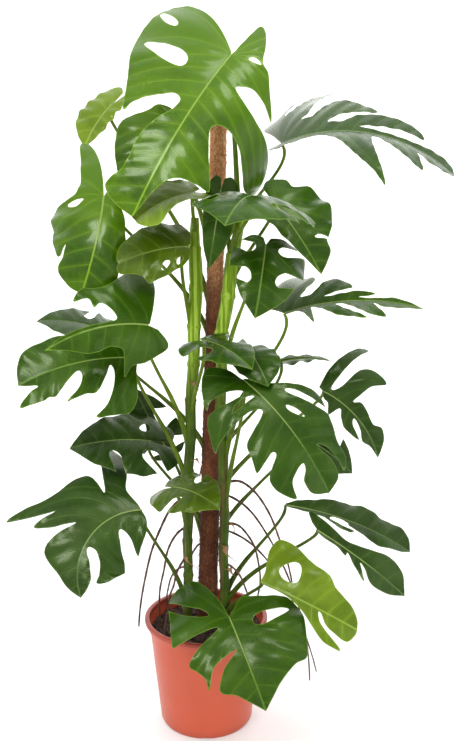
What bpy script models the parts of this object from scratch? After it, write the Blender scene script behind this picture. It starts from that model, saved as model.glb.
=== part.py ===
import math

import bmesh
import bpy
import numpy as np
from mathutils import Matrix, Vector
from mathutils.geometry import delaunay_2d_cdt

# Potted swiss cheese plant on a coir pole. Metres, +Z up, front of the plant at -Y.
# The origin is the middle of the pot's flat underside.

# Driving dimensions
CLEAR = 0.0003            # gap that touching pieces keep

POT_HEIGHT = 0.217
RIM_RADIUS = 0.122
RIM_INNER = 0.113
RIM_BAND = 0.008
COLLAR_HEIGHT = 0.014
WALL_TOP_RADIUS = 0.1115
WALL_FOOT_RADIUS = 0.092
BASE_RADIUS = 0.089
WALL = 0.0022
FLOOR = 0.004
FOOT_CHAMFER = 0.006
NOTCH_COUNT = 6
NOTCH_SIZE = (0.010, 0.018, 0.0024)
DRAIN_COUNT = 6
DRAIN_RADIUS = 0.005
DRAIN_RING = 0.058

SOIL_LEVEL = 0.190
SOIL_BUMP = 0.0035
SOIL_TURN = 36

POLE_BOTTOM = (-0.003, 0.0, 0.012)
POLE_TOP = (0.028, 0.0, 1.182)
POLE_FOOT_RADIUS = 0.0205
POLE_TOP_RADIUS = 0.0145
POLE_RIDGE = 0.0012

BLADE_THICK = 0.0013
PETIOLE_THICK = 0.0026    # radius at the blade
PETIOLE_FOOT = 0.0045     # radius at the stem
PETIOLE_SIDES = 1         # bevel resolution
PETIOLE_POINTS = 8
ROOT_POINTS = 8
JOINT_DROP = 0.0017       # from the blade's middle to the petiole's end

# Each stem: points (x, y, z, radius) from the soil up
STEMS = {
    "stems_left": [(-0.036, -0.026, 0.150, 0.0095), (-0.035, -0.027, 0.30, 0.0095),
                   (-0.031, -0.030, 0.50, 0.0100), (-0.024, -0.034, 0.68, 0.0105),
                   (-0.017, -0.036, 0.80, 0.0125), (-0.014, -0.036, 0.92, 0.0130),
                   (-0.016, -0.035, 1.00, 0.0075)],
    "stems_right": [(0.033, -0.024, 0.150, 0.0095), (0.036, -0.026, 0.30, 0.0095),
                    (0.036, -0.032, 0.50, 0.0100), (0.030, -0.038, 0.70, 0.0105),
                    (0.034, -0.040, 0.80, 0.0125), (0.052, -0.038, 0.92, 0.0130),
                    (0.066, -0.036, 1.00, 0.0075)],
    "stems_back": [(0.002, 0.042, 0.150, 0.0095), (0.004, 0.041, 0.35, 0.0095),
                   (0.010, 0.040, 0.60, 0.0095), (0.018, 0.038, 0.85, 0.0090),
                   (0.024, 0.037, 0.98, 0.0065)],
}

# Plain leaf outline from the joint to the tip: place along the margin, then the share of the
# blade's length and of its half's width
OUTLINE = [(0.00, -0.30, 0.10), (0.12, -0.36, 0.45), (0.28, -0.14, 0.86), (0.45, 0.16, 1.00),
           (0.62, 0.46, 0.90), (0.78, 0.73, 0.60), (0.90, 0.90, 0.24), (1.00, 1.00, 0.00)]

MARGIN_STEP = 0.09        # share of the margin between two points of a plain outline
NET = 0.024               # spacing of the points inside a blade
NET_CLEAR = 0.009         # how near the margin such a point may lie
NET_FULL = 0.200          # a blade shorter than this has its net shrunk with it
BLADE_SPREAD = 0.8        # no part of a blade is further from its joint


def slit(place, start, half, flare):
    """A slit that runs out through the margin."""
    return (place, start, half, flare, 1.0)


def hole(place, start, half, end):
    """A hole that closes before the margin."""
    return (place, start, half, 1.0, end)


# Each leaf: joint with the petiole, tip, direction its upper face looks in, widths of its left
# and right half, stem and height that its petiole grows from, slits and holes of each half,
# bends in degrees, and the lobed outline of each half where it isn't the plain one
LEAVES = {
    "leaf_crown": dict(
        joint=(0.050, -0.050, 1.275), tip=(-0.115, -0.140, 1.005), face=(-0.10, -0.85, 0.45),
        width=(0.150, 0.165), stem="stems_right", height=0.97,
        left=[hole(0.165, 0.50, 0.011, 0.92)],
        right=[hole(0.24, 0.62, 0.011, 0.97), hole(0.34, 0.26, 0.016, 0.84)],
        droop=35, curl=(75, 30), fold=(8, 8), wave=0.003,
        outline=([(0.00, -0.03, 0.01), (0.03, -0.15, 0.015), (0.06, -0.26, 0.03), (0.09, -0.25, 0.12),
                  (0.12, -0.17, 0.24), (0.16, -0.05, 0.36), (0.20, -0.02, 0.48), (0.25, 0.06, 0.63),
                  (0.30, 0.17, 0.86), (0.33, 0.13, 0.64), (0.36, 0.12, 0.45), (0.39, 0.165, 0.29),
                  (0.42, 0.20, 0.40), (0.46, 0.24, 0.66), (0.50, 0.28, 1.00), (0.54, 0.35, 1.30),
                  (0.57, 0.43, 1.47), (0.60, 0.52, 1.42), (0.63, 0.58, 1.12), (0.66, 0.50, 0.88),
                  (0.69, 0.43, 0.72), (0.72, 0.39, 0.54), (0.75, 0.39, 0.37), (0.78, 0.44, 0.32),
                  (0.81, 0.53, 0.42), (0.84, 0.63, 0.56), (0.87, 0.71, 0.65), (0.89, 0.71, 0.48),
                  (0.92, 0.73, 0.26), (0.95, 0.80, 0.13), (1.00, 1.00, 0.00)],
                 [(0.00, -0.02, 0.03), (0.04, -0.10, 0.23), (0.08, -0.17, 0.45), (0.12, -0.22, 0.68),
                  (0.16, -0.23, 0.86), (0.20, -0.20, 1.00), (0.24, -0.12, 1.07), (0.28, -0.03, 1.10),
                  (0.32, 0.07, 1.10), (0.36, 0.15, 1.05), (0.40, 0.24, 0.97), (0.44, 0.34, 0.86),
                  (0.49, 0.44, 0.75), (0.54, 0.54, 0.64), (0.57, 0.48, 0.59), (0.60, 0.43, 0.50),
                  (0.63, 0.39, 0.38), (0.66, 0.35, 0.24), (0.69, 0.37, 0.15), (0.72, 0.43, 0.17),
                  (0.76, 0.52, 0.27), (0.80, 0.63, 0.33), (0.84, 0.73, 0.32), (0.88, 0.81, 0.33),
                  (0.92, 0.88, 0.40), (0.95, 0.93, 0.40), (0.98, 0.98, 0.22), (1.00, 1.00, 0.00)])),
    "leaf_crown_back": dict(
        joint=(-0.060, 0.065, 1.172), tip=(-0.123, 0.035, 1.030), face=(-0.15, -0.92, 0.35),
        width=(0.070, 0.085), stem="stems_back", height=0.84,
        left=[], right=[], droop=30, curl=(30, 25), wave=0.002,
        outline=([(0.00, -0.10, 0.05), (0.10, -0.16, 0.30), (0.25, 0.00, 0.70), (0.45, 0.30, 0.80),
                  (0.65, 0.55, 0.70), (0.85, 0.84, 0.35), (1.00, 1.00, 0.00)],
                 [(0.00, -0.08, 0.02), (0.05, -0.15, 0.15), (0.10, -0.15, 0.34), (0.15, -0.11, 0.50),
                  (0.20, -0.02, 0.60), (0.27, 0.07, 0.82), (0.35, 0.16, 0.99), (0.44, 0.30, 1.07),
                  (0.56, 0.49, 0.97), (0.68, 0.68, 0.78), (0.80, 0.82, 0.58), (0.91, 0.94, 0.28),
                  (1.00, 1.00, 0.00)])),
    "leaf_small_heart": dict(
        joint=(-0.185, 0.100, 1.195), tip=(-0.225, 0.080, 1.125), face=(-0.35, -0.80, 0.50),
        width=(0.025, 0.055), stem="stems_back", height=0.76,
        left=[], right=[], droop=30, curl=(30, 30), back=2.2,
        wave=0.003),
    "leaf_upper_left": dict(
        joint=(-0.174, -0.050, 1.038), tip=(-0.212, -0.092, 0.871), face=(-0.25, -0.90, 0.35),
        width=(0.048, 0.070), stem="stems_back", height=0.72, arrive=(-0.05, -0.60, 0.80),
        drop=0.0022, wave=0.004, left=[], right=[hole(0.24, 0.35, 0.012, 0.65)],
        droop=35, curl=(60, 30), fold=(2, 10), bow=30,
        outline=([(0.00, -0.05, 0.10), (0.10, 0.00, 0.50), (0.20, 0.11, 0.70), (0.35, 0.28, 1.00),
                  (0.50, 0.50, 1.10), (0.65, 0.68, 1.10), (0.80, 0.84, 1.00), (0.92, 0.95, 0.60),
                  (1.00, 1.00, 0.00)],
                 [(0.00, -0.10, 0.02), (0.03, -0.55, 0.14), (0.06, -0.80, 0.28), (0.09, -0.82, 0.50),
                  (0.12, -0.45, 0.62), (0.15, -0.20, 0.66), (0.18, -0.06, 0.78), (0.22, 0.00, 1.20),
                  (0.25, 0.05, 1.48), (0.29, 0.23, 1.58), (0.33, 0.48, 1.38), (0.37, 0.73, 1.02),
                  (0.41, 0.56, 0.80), (0.45, 0.70, 0.84), (0.52, 0.85, 0.84), (0.62, 0.93, 0.68),
                  (0.80, 0.99, 0.35), (1.00, 1.00, 0.00)])),
    "leaf_upper_right": dict(
        joint=(0.143, 0.060, 1.132), tip=(0.458, 0.020, 1.071), face=(0.05, -0.55, 0.84),
        width=(0.180, 0.130), stem="stems_back", height=0.88, left=[], right=[],
        droop=75, curl=(25, 40), fold=(8, 25), wave=0.004,
        outline=([(0.00, -0.06, 0.20), (0.04, -0.20, 0.65), (0.08, -0.20, 0.92), (0.12, -0.03, 1.12),
                  (0.15, -0.06, 0.88), (0.18, -0.03, 0.62), (0.21, 0.03, 0.85), (0.24, 0.08, 1.15),
                  (0.27, 0.18, 1.45), (0.30, 0.14, 0.90), (0.33, 0.12, 0.50), (0.36, 0.09, 0.36),
                  (0.39, 0.15, 0.36), (0.42, 0.20, 0.53), (0.45, 0.28, 0.64), (0.48, 0.38, 0.58),
                  (0.51, 0.50, 0.42), (0.54, 0.38, 0.36), (0.57, 0.29, 0.28), (0.60, 0.25, 0.18),
                  (0.63, 0.33, 0.18), (0.66, 0.40, 0.29), (0.69, 0.49, 0.35), (0.73, 0.62, 0.36),
                  (0.77, 0.72, 0.32), (0.79, 0.77, 0.20), (0.82, 0.66, 0.19), (0.85, 0.54, 0.15),
                  (0.87, 0.42, 0.10), (0.89, 0.50, 0.07), (0.92, 0.60, 0.06), (0.95, 0.72, 0.07),
                  (0.975, 0.86, 0.11), (0.99, 0.96, 0.10), (1.00, 1.00, 0.00)],
                 [(0.00, -0.05, 0.20), (0.08, 0.00, 0.35), (0.16, 0.12, 0.30), (0.24, 0.24, 0.25),
                  (0.30, 0.32, 0.40), (0.36, 0.42, 0.75), (0.42, 0.52, 1.05), (0.46, 0.60, 1.25),
                  (0.50, 0.54, 0.85), (0.54, 0.50, 0.45), (0.58, 0.50, 0.20), (0.64, 0.58, 0.35),
                  (0.70, 0.66, 0.55), (0.75, 0.76, 0.70), (0.79, 0.74, 0.45), (0.83, 0.73, 0.28),
                  (0.88, 0.82, 0.42), (0.93, 0.93, 0.30), (1.00, 1.00, 0.00)])),
    "leaf_right_shoulder": dict(
        joint=(0.127, -0.055, 1.023), tip=(0.205, -0.105, 0.906), face=(0.20, -0.85, 0.50),
        width=(0.125, 0.070), stem="stems_right", height=0.82,
        left=[slit(0.62, 0.50, 0.015, 1.3)], right=[],
        droop=30, curl=(50, 50), back=1.0,
        outline=([(0.00, -0.30, 0.04), (0.06, -0.36, 0.18), (0.13, -0.25, 0.41), (0.20, -0.10, 0.42),
                  (0.27, -0.04, 0.60), (0.36, 0.14, 0.72), (0.45, 0.34, 0.72), (0.53, 0.50, 0.60),
                  (0.60, 0.66, 0.37), (0.66, 0.68, 0.33), (0.74, 0.80, 0.30), (0.86, 0.92, 0.14),
                  (1.00, 1.00, 0.00)],
                 [(0.00, -0.25, 0.10), (0.20, -0.05, 0.45), (0.35, 0.09, 0.48), (0.50, 0.25, 0.42),
                  (0.65, 0.42, 0.36), (0.80, 0.64, 0.26), (1.00, 1.00, 0.00)])),
    "leaf_centre_edge": dict(
        joint=(0.095, -0.115, 1.035), tip=(0.040, -0.250, 0.995), face=(-0.05, -0.45, 0.90),
        width=(0.120, 0.110), stem="stems_right", height=0.92,
        left=[slit(0.30, 0.40, 0.03, 1.5), slit(0.60, 0.40, 0.03, 1.5)],
        right=[slit(0.30, 0.35, 0.03, 1.6), slit(0.60, 0.35, 0.04, 1.6)],
        droop=60, curl=(60, 60), wave=0.003,
        back=0.5),
    "leaf_centre_right": dict(
        joint=(0.110, -0.080, 0.955), tip=(0.090, -0.145, 0.835), face=(0.10, -0.85, 0.45),
        width=(0.075, 0.055), stem="stems_right", height=0.66,
        left=[slit(0.30, 0.30, 0.025, 1.8), slit(0.60, 0.30, 0.03, 1.8)],
        right=[slit(0.30, 0.30, 0.03, 1.8), slit(0.60, 0.30, 0.03, 1.8)],
        droop=40, curl=(60, 60), wave=0.003, back=0.4, reach=([1.0, 1.2, 1.0], [1.0, 1.2, 1.0])),
    "leaf_mid_right": dict(
        joint=(0.148, 0.000, 0.823), tip=(0.399, -0.040, 0.837), face=(0.00, -0.40, 0.91),
        width=(0.120, 0.075), stem="stems_right", height=0.56, left=[], right=[],
        droop=40, curl=(40, 20), fold=(20, 8), wave=0.004, drop=0.0014,
        outline=([(0.00, -0.04, 0.08), (0.05, -0.12, 0.25), (0.10, -0.16, 0.53), (0.15, -0.08, 1.15),
                  (0.20, 0.06, 1.20), (0.25, 0.23, 0.70), (0.28, 0.17, 0.45), (0.31, 0.13, 0.25),
                  (0.34, 0.21, 0.26), (0.38, 0.31, 0.54), (0.42, 0.42, 0.52), (0.46, 0.50, 0.30),
                  (0.50, 0.40, 0.24), (0.54, 0.30, 0.14), (0.58, 0.43, 0.17), (0.63, 0.54, 0.21),
                  (0.68, 0.66, 0.14), (0.72, 0.54, 0.07), (0.77, 0.65, 0.06), (0.84, 0.79, 0.10),
                  (0.92, 0.88, 0.07), (1.00, 1.00, 0.00)],
                 [(0.00, 0.02, 0.05), (0.06, 0.08, 0.07), (0.12, 0.15, 0.25), (0.17, 0.24, 0.84),
                  (0.21, 0.22, 0.35), (0.25, 0.21, 0.08), (0.30, 0.28, 0.24), (0.36, 0.42, 0.64),
                  (0.42, 0.60, 0.82), (0.46, 0.50, 0.50), (0.50, 0.42, 0.28), (0.54, 0.38, 0.08),
                  (0.58, 0.47, 0.20), (0.63, 0.59, 0.58), (0.68, 0.73, 0.66), (0.72, 0.68, 0.35),
                  (0.76, 0.64, 0.12), (0.80, 0.72, 0.26), (0.86, 0.80, 0.25), (0.93, 0.90, 0.16),
                  (1.00, 1.00, 0.00)])),
    "leaf_mid_left": dict(
        joint=(-0.094, -0.120, 0.820), tip=(-0.259, -0.200, 0.789), face=(-0.25, -0.90, 0.40),
        width=(0.100, 0.090), stem="stems_left", height=0.54,
        left=[], right=[], droop=30, curl=(60, 30), fold=(-5, 15), bow=-30, drop=0.0022, wave=0.004,
        outline=([(0.00, -0.10, 0.06), (0.06, -0.23, 0.32), (0.10, -0.10, 0.55), (0.16, 0.02, 0.68),
                  (0.22, 0.17, 0.74), (0.26, 0.25, 0.98), (0.30, 0.27, 0.80), (0.36, 0.28, 0.46),
                  (0.42, 0.36, 0.38), (0.50, 0.44, 0.36), (0.58, 0.54, 0.40), (0.70, 0.67, 0.36),
                  (0.85, 0.84, 0.17), (1.00, 1.00, 0.00)],
                 [(0.00, -0.02, 0.04), (0.03, -0.05, 0.33), (0.06, -0.08, 0.70), (0.09, -0.09, 1.10),
                  (0.115, -0.04, 1.35), (0.14, 0.04, 1.35), (0.17, 0.16, 1.10), (0.20, 0.28, 0.86),
                  (0.24, 0.42, 0.82), (0.27, 0.50, 0.85), (0.295, 0.60, 0.62), (0.32, 0.48, 0.60),
                  (0.335, 0.46, 0.40), (0.35, 0.40, 0.48), (0.37, 0.33, 0.34), (0.39, 0.29, 0.13),
                  (0.45, 0.38, 0.08), (0.60, 0.58, 0.08), (0.80, 0.80, 0.07), (1.00, 1.00, 0.00)])),
    "leaf_left_bright": dict(
        joint=(-0.121, -0.060, 0.750), tip=(-0.324, -0.120, 0.712), face=(-0.25, -0.85, 0.50),
        width=(0.100, 0.080), stem="stems_left", height=0.46,
        left=[], right=[], droop=40, curl=(40, 20), bow=-18, wave=0.006,
        outline=([(0.00, 0.00, 0.05), (0.04, 0.03, 0.35), (0.08, 0.04, 0.80), (0.12, 0.09, 1.01),
                  (0.18, 0.19, 1.07), (0.24, 0.32, 1.10), (0.28, 0.45, 1.02), (0.31, 0.33, 0.88),
                  (0.33, 0.25, 0.58), (0.345, 0.22, 0.30), (0.355, 0.24, 0.15), (0.37, 0.29, 0.34),
                  (0.39, 0.38, 0.60), (0.44, 0.50, 0.62), (0.49, 0.67, 0.67), (0.52, 0.55, 0.50),
                  (0.545, 0.49, 0.30), (0.56, 0.50, 0.17), (0.58, 0.56, 0.22), (0.62, 0.73, 0.49),
                  (0.66, 0.80, 0.47), (0.69, 0.86, 0.50), (0.73, 1.06, 0.40), (0.76, 0.92, 0.24),
                  (0.79, 0.85, 0.20), (0.90, 0.94, 0.09), (1.00, 1.00, 0.00)],
                 [(0.00, 0.00, 0.05), (0.10, 0.00, 0.50), (0.20, 0.12, 0.80), (0.35, 0.30, 0.75),
                  (0.47, 0.47, 0.67), (0.60, 0.60, 0.73), (0.72, 0.73, 0.73), (0.82, 0.86, 0.64),
                  (0.90, 0.94, 0.42), (1.00, 1.00, 0.00)])),
    "leaf_left_back": dict(
        joint=(-0.185, 0.080, 0.770), tip=(-0.325, 0.055, 0.800), face=(-0.20, -0.40, 0.90),
        width=(0.070, 0.060), stem="stems_back", height=0.50,
        left=[slit(0.5, 0.3, 0.02, 1.6)], right=[slit(0.5, 0.3, 0.02, 1.6)],
        droop=40, curl=(30, 30), wave=0.003,
        back=0.3),
    "leaf_under_crown": dict(
        joint=(-0.015, -0.080, 1.045), tip=(-0.111, -0.128, 0.998), face=(-0.15, -0.60, 0.78),
        width=(0.075, 0.075), stem="stems_left", height=0.95,
        left=[], right=[], droop=40, curl=(40, 40), wave=0.002,
        outline=([(0.00, -0.15, 0.10), (0.10, -0.20, 0.34), (0.22, -0.02, 0.40), (0.36, 0.20, 0.30),
                  (0.48, 0.44, 0.33), (0.60, 0.66, 0.49), (0.72, 0.82, 0.57), (0.84, 0.95, 0.40),
                  (0.93, 1.01, 0.14), (1.00, 1.00, 0.00)],
                 [(0.00, -0.15, 0.10), (0.15, -0.10, 0.55), (0.32, 0.12, 0.85), (0.50, 0.40, 0.95),
                  (0.68, 0.68, 0.85), (0.84, 0.90, 0.52), (0.94, 0.99, 0.22), (1.00, 1.00, 0.00)])),
    "leaf_olive_holed": dict(
        joint=(-0.030, -0.085, 0.952), tip=(-0.143, -0.115, 0.925), face=(-0.15, -0.75, 0.60),
        width=(0.060, 0.065), stem="stems_left", height=0.74,
        left=[hole(0.42, 0.42, 0.024, 0.72), hole(0.26, 0.42, 0.022, 0.74)], right=[],
        droop=40, curl=(40, 35), wave=0.002,
        outline=([(0.00, -0.05, 0.10), (0.06, 0.00, 0.40), (0.12, 0.10, 0.62), (0.20, 0.20, 0.74),
                  (0.30, 0.33, 0.84), (0.42, 0.52, 0.93), (0.52, 0.69, 0.98), (0.58, 0.75, 0.70),
                  (0.66, 0.86, 0.56), (0.78, 1.02, 0.37), (0.90, 1.05, 0.16), (1.00, 1.00, 0.00)],
                 [(0.00, -0.10, 0.10), (0.10, -0.15, 0.45), (0.20, -0.10, 0.80), (0.32, 0.05, 0.88),
                  (0.45, 0.23, 0.93), (0.58, 0.46, 0.90), (0.72, 0.72, 0.68), (0.86, 0.93, 0.40),
                  (0.95, 1.00, 0.16), (1.00, 1.00, 0.00)])),
    "leaf_centre_dark": dict(
        joint=(0.032, -0.064, 1.050), tip=(0.010, -0.074, 0.912), face=(0.10, -0.95, 0.20),
        width=(0.034, 0.026), stem="stems_right", height=0.90,
        left=[], right=[], droop=15, curl=(20, 20), wave=0.002, back=0.45),
    "leaf_low_left_back": dict(
        joint=(-0.105, 0.005, 0.575), tip=(-0.255, -0.030, 0.570), face=(-0.15, -0.60, 0.75),
        width=(0.080, 0.070), stem="stems_back", height=0.34,
        left=[slit(0.3, 0.3, 0.03, 1.6), slit(0.6, 0.3, 0.02, 1.6)],
        right=[hole(0.3, 0.3, 0.02, 0.6)], droop=40, curl=(35, 35), wave=0.003),
    "leaf_back_left": dict(
        joint=(-0.080, 0.110, 0.525), tip=(-0.145, 0.095, 0.660), face=(-0.20, -0.80, 0.55),
        width=(0.050, 0.050), stem="stems_back", height=0.28,
        left=[slit(0.3, 0.3, 0.03, 1.8), slit(0.6, 0.25, 0.03, 1.8)],
        right=[slit(0.3, 0.3, 0.03, 1.8), slit(0.6, 0.20, 0.04, 1.6)],
        droop=40, curl=(35, 35), wave=0.003, back=0.4, sweep=0.3),
    "leaf_low_left": dict(
        joint=(-0.115, -0.100, 0.475), tip=(-0.213, -0.200, 0.350), face=(-0.10, -0.85, 0.45),
        width=(0.080, 0.120), stem="stems_left", height=0.215,
        left=[], right=[], droop=30, curl=(40, 20), fold=(6, 6), bow=-105, wave=0.004,
        outline=([(0.00, -0.01, 0.05), (0.05, -0.05, 0.28), (0.10, -0.05, 0.55), (0.15, 0.02, 0.83),
                  (0.20, 0.16, 1.05), (0.24, 0.17, 0.68), (0.28, 0.21, 0.42), (0.31, 0.26, 0.36),
                  (0.34, 0.34, 0.64), (0.38, 0.50, 0.95), (0.41, 0.62, 1.05), (0.44, 0.76, 1.05),
                  (0.48, 0.92, 0.72), (0.51, 0.92, 0.42), (0.54, 0.82, 0.48), (0.57, 0.68, 0.46),
                  (0.60, 0.58, 0.30), (0.63, 0.57, 0.12), (0.68, 0.61, 0.10), (0.76, 0.70, 0.24),
                  (0.86, 0.86, 0.30), (0.93, 0.95, 0.18), (1.00, 1.00, 0.00)],
                 [(0.00, 0.01, 0.05), (0.04, 0.08, 0.35), (0.08, 0.06, 0.65), (0.12, 0.05, 1.03),
                  (0.16, 0.07, 1.50), (0.19, 0.13, 1.45), (0.23, 0.17, 0.85), (0.26, 0.215, 0.42),
                  (0.275, 0.23, 0.76), (0.30, 0.29, 0.88), (0.32, 0.39, 0.89), (0.34, 0.47, 0.96),
                  (0.36, 0.54, 1.14), (0.375, 0.61, 1.34), (0.39, 0.57, 1.02), (0.405, 0.52, 0.80),
                  (0.42, 0.48, 0.68), (0.44, 0.59, 0.85), (0.46, 0.56, 0.58), (0.48, 0.50, 0.40),
                  (0.51, 0.47, 0.30), (0.54, 0.59, 0.48), (0.60, 0.66, 0.55), (0.68, 0.71, 0.52),
                  (0.78, 0.80, 0.30), (0.88, 0.90, 0.16), (1.00, 1.00, 0.00)])),
    "leaf_centre_low": dict(
        joint=(-0.055, -0.105, 0.520), tip=(0.030, -0.165, 0.500), face=(0.10, -0.50, 0.85),
        width=(0.060, 0.060), stem="stems_left", height=0.27,
        left=[slit(0.5, 0.3, 0.02, 1.6)], right=[slit(0.5, 0.3, 0.02, 1.6)],
        droop=50, curl=(40, 40), wave=0.003),
    "leaf_centre_front": dict(
        joint=(0.000, -0.105, 0.790), tip=(0.085, -0.190, 0.755), face=(0.10, -0.35, 0.93),
        width=(0.060, 0.060), stem="stems_left", height=0.60,
        left=[slit(0.5, 0.3, 0.03, 1.6)], right=[slit(0.5, 0.3, 0.03, 1.6)],
        droop=40, curl=(40, 40), wave=0.003,
        back=0.4),
    "leaf_centre_small": dict(
        joint=(0.086, -0.120, 0.768), tip=(0.112, -0.170, 0.722), face=(0.05, -0.70, 0.70),
        width=(0.045, 0.040), stem="stems_right", height=0.50,
        left=[], right=[], droop=40, curl=(40, 40), wave=0.002),
    "leaf_front_right": dict(
        joint=(0.071, -0.140, 0.727), tip=(0.214, -0.220, 0.550), face=(0.10, -0.85, 0.50),
        width=(0.110, 0.100), stem="stems_right", height=0.38,
        left=[slit(0.30, 0.42, 0.010, 1.2), hole(0.42, 0.26, 0.010, 0.52)],
        right=[hole(0.28, 0.20, 0.008, 0.50)],
        droop=40, curl=(60, 40), bow=15, wave=0.003,
        outline=([(0.00, 0.00, 0.03), (0.05, 0.08, 0.12), (0.10, 0.15, 0.24), (0.15, 0.23, 0.48),
                  (0.20, 0.32, 0.70), (0.25, 0.41, 0.80), (0.30, 0.53, 0.71), (0.36, 0.64, 0.61),
                  (0.42, 0.74, 0.53), (0.48, 0.83, 0.53), (0.53, 0.89, 0.46), (0.57, 0.92, 0.37),
                  (0.60, 0.83, 0.37), (0.63, 0.73, 0.32), (0.66, 0.67, 0.20), (0.69, 0.72, 0.21),
                  (0.74, 0.80, 0.27), (0.80, 0.88, 0.28), (0.87, 0.94, 0.23), (1.00, 1.00, 0.00)],
                 [(0.00, -0.02, 0.01), (0.015, -0.12, 0.02), (0.03, -0.20, 0.08), (0.05, -0.27, 0.24),
                  (0.07, -0.24, 0.45), (0.09, -0.14, 0.69), (0.11, -0.02, 0.86), (0.125, -0.05, 0.69),
                  (0.14, -0.01, 0.39), (0.155, 0.05, 0.20), (0.17, 0.09, 0.20), (0.185, 0.07, 0.41),
                  (0.20, 0.02, 0.80), (0.215, 0.03, 0.97), (0.235, 0.13, 1.14), (0.255, 0.27, 1.30),
                  (0.27, 0.24, 1.12), (0.285, 0.22, 0.76), (0.30, 0.22, 0.37), (0.32, 0.26, 0.18),
                  (0.34, 0.30, 0.27), (0.36, 0.34, 0.51), (0.39, 0.39, 0.76), (0.43, 0.49, 0.84),
                  (0.47, 0.61, 0.92), (0.49, 0.58, 0.71), (0.505, 0.55, 0.52), (0.53, 0.58, 0.48),
                  (0.56, 0.64, 0.66), (0.59, 0.71, 0.80), (0.63, 0.82, 0.77), (0.67, 0.92, 0.56),
                  (0.69, 0.81, 0.50), (0.71, 0.75, 0.32), (0.73, 0.73, 0.17), (0.76, 0.77, 0.18),
                  (0.81, 0.84, 0.31), (0.88, 0.94, 0.28), (1.00, 1.00, 0.00)])),
    "leaf_right_underside": dict(
        joint=(0.145, 0.040, 0.725), tip=(0.240, 0.010, 0.730), face=(0.10, 0.30, 0.90),
        width=(0.040, 0.040), stem="stems_back", height=0.46,
        left=[], right=[], droop=30, curl=(30, 30), wave=0.002),
    "leaf_right_lobed": dict(
        joint=(0.229, 0.050, 0.663), tip=(0.335, 0.020, 0.537), face=(0.10, -0.90, 0.40),
        width=(0.080, 0.080), stem="stems_back", height=0.38,
        left=[], right=[], droop=40, curl=(30, 30), bow=40, drop=0.0022, wave=0.003,
        outline=([(0.00, -0.06, 0.05), (0.03, -0.05, 0.55), (0.06, 0.00, 1.20), (0.10, 0.05, 1.85),
                  (0.13, 0.11, 1.90), (0.16, 0.09, 1.25), (0.19, 0.07, 0.62), (0.22, 0.06, 0.20),
                  (0.25, 0.10, 0.16), (0.28, 0.15, 0.40), (0.31, 0.17, 0.80), (0.34, 0.20, 1.06),
                  (0.38, 0.30, 1.23), (0.42, 0.44, 1.20), (0.45, 0.36, 0.80), (0.47, 0.34, 0.45),
                  (0.49, 0.33, 0.20), (0.52, 0.39, 0.32), (0.58, 0.48, 0.30), (0.70, 0.64, 0.22),
                  (0.76, 0.72, 0.36), (0.84, 0.83, 0.30), (0.92, 0.92, 0.15), (1.00, 1.00, 0.00)],
                 [(0.00, 0.00, 0.05), (0.08, 0.06, 0.18), (0.16, 0.12, 0.22), (0.23, 0.21, 0.45),
                  (0.29, 0.27, 0.15), (0.36, 0.36, 0.32), (0.42, 0.50, 0.43), (0.47, 0.70, 0.30),
                  (0.51, 0.52, 0.22), (0.545, 0.46, 0.09), (0.60, 0.52, 0.08), (0.70, 0.62, 0.14),
                  (0.80, 0.74, 0.24), (0.87, 0.83, 0.12), (1.00, 1.00, 0.00)])),
    "leaf_back_right": dict(
        joint=(0.190, 0.100, 0.560), tip=(0.295, 0.080, 0.485), face=(0.20, -0.70, 0.60),
        width=(0.055, 0.050), stem="stems_back", height=0.29,
        left=[slit(0.3, 0.3, 0.03, 1.8), slit(0.6, 0.25, 0.03, 1.8)],
        right=[slit(0.3, 0.3, 0.03, 1.8), slit(0.6, 0.20, 0.04, 1.6)],
        droop=40, curl=(35, 35), wave=0.003, sweep=0.3),
    "leaf_low_right_upper": dict(
        joint=(0.156, 0.020, 0.440), tip=(0.399, -0.010, 0.354), face=(0.15, -0.50, 0.85),
        width=(0.070, 0.050), stem="stems_right", height=0.235,
        left=[], right=[slit(0.50, 0.10, 0.020, 1.0)], droop=40, curl=(35, 35),
        outline=([(0.00, 0.00, 0.05), (0.12, 0.09, 0.24), (0.25, 0.20, 0.36), (0.40, 0.38, 0.56),
                  (0.55, 0.52, 0.65), (0.70, 0.70, 0.58), (0.82, 0.86, 0.58), (0.92, 0.96, 0.36),
                  (1.00, 1.00, 0.00)],
                 [(0.00, 0.00, 0.05), (0.15, 0.12, 0.15), (0.28, 0.28, 0.22), (0.38, 0.42, 0.46),
                  (0.44, 0.51, 0.58), (0.50, 0.55, 0.40), (0.56, 0.60, 0.44), (0.66, 0.74, 0.54),
                  (0.80, 0.89, 0.36), (1.00, 1.00, 0.00)])),
    "leaf_low_right_under": dict(
        joint=(0.211, -0.070, 0.424), tip=(0.371, -0.110, 0.310), face=(0.10, -0.80, 0.55),
        width=(0.060, 0.055), stem="stems_right", height=0.215,
        left=[], right=[], droop=40, curl=(35, 35), wave=0.004,
        outline=([(0.00, -0.08, 0.12), (0.06, -0.17, 0.42), (0.12, 0.00, 0.38), (0.20, 0.14, 0.30),
                  (0.30, 0.26, 0.22), (0.42, 0.38, 0.30), (0.55, 0.53, 0.48), (0.68, 0.69, 0.64),
                  (0.80, 0.84, 0.54), (0.90, 0.94, 0.22), (1.00, 1.00, 0.00)],
                 [(0.00, 0.00, 0.05), (0.12, 0.10, 0.12), (0.22, 0.23, 0.12), (0.30, 0.34, 0.22),
                  (0.36, 0.34, 0.08), (0.42, 0.44, 0.30), (0.47, 0.60, 0.56), (0.51, 0.52, 0.26),
                  (0.55, 0.48, 0.10), (0.62, 0.55, 0.20), (0.72, 0.66, 0.46), (0.84, 0.84, 0.37),
                  (1.00, 1.00, 0.00)])),
    "leaf_low_right_bright": dict(
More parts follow.
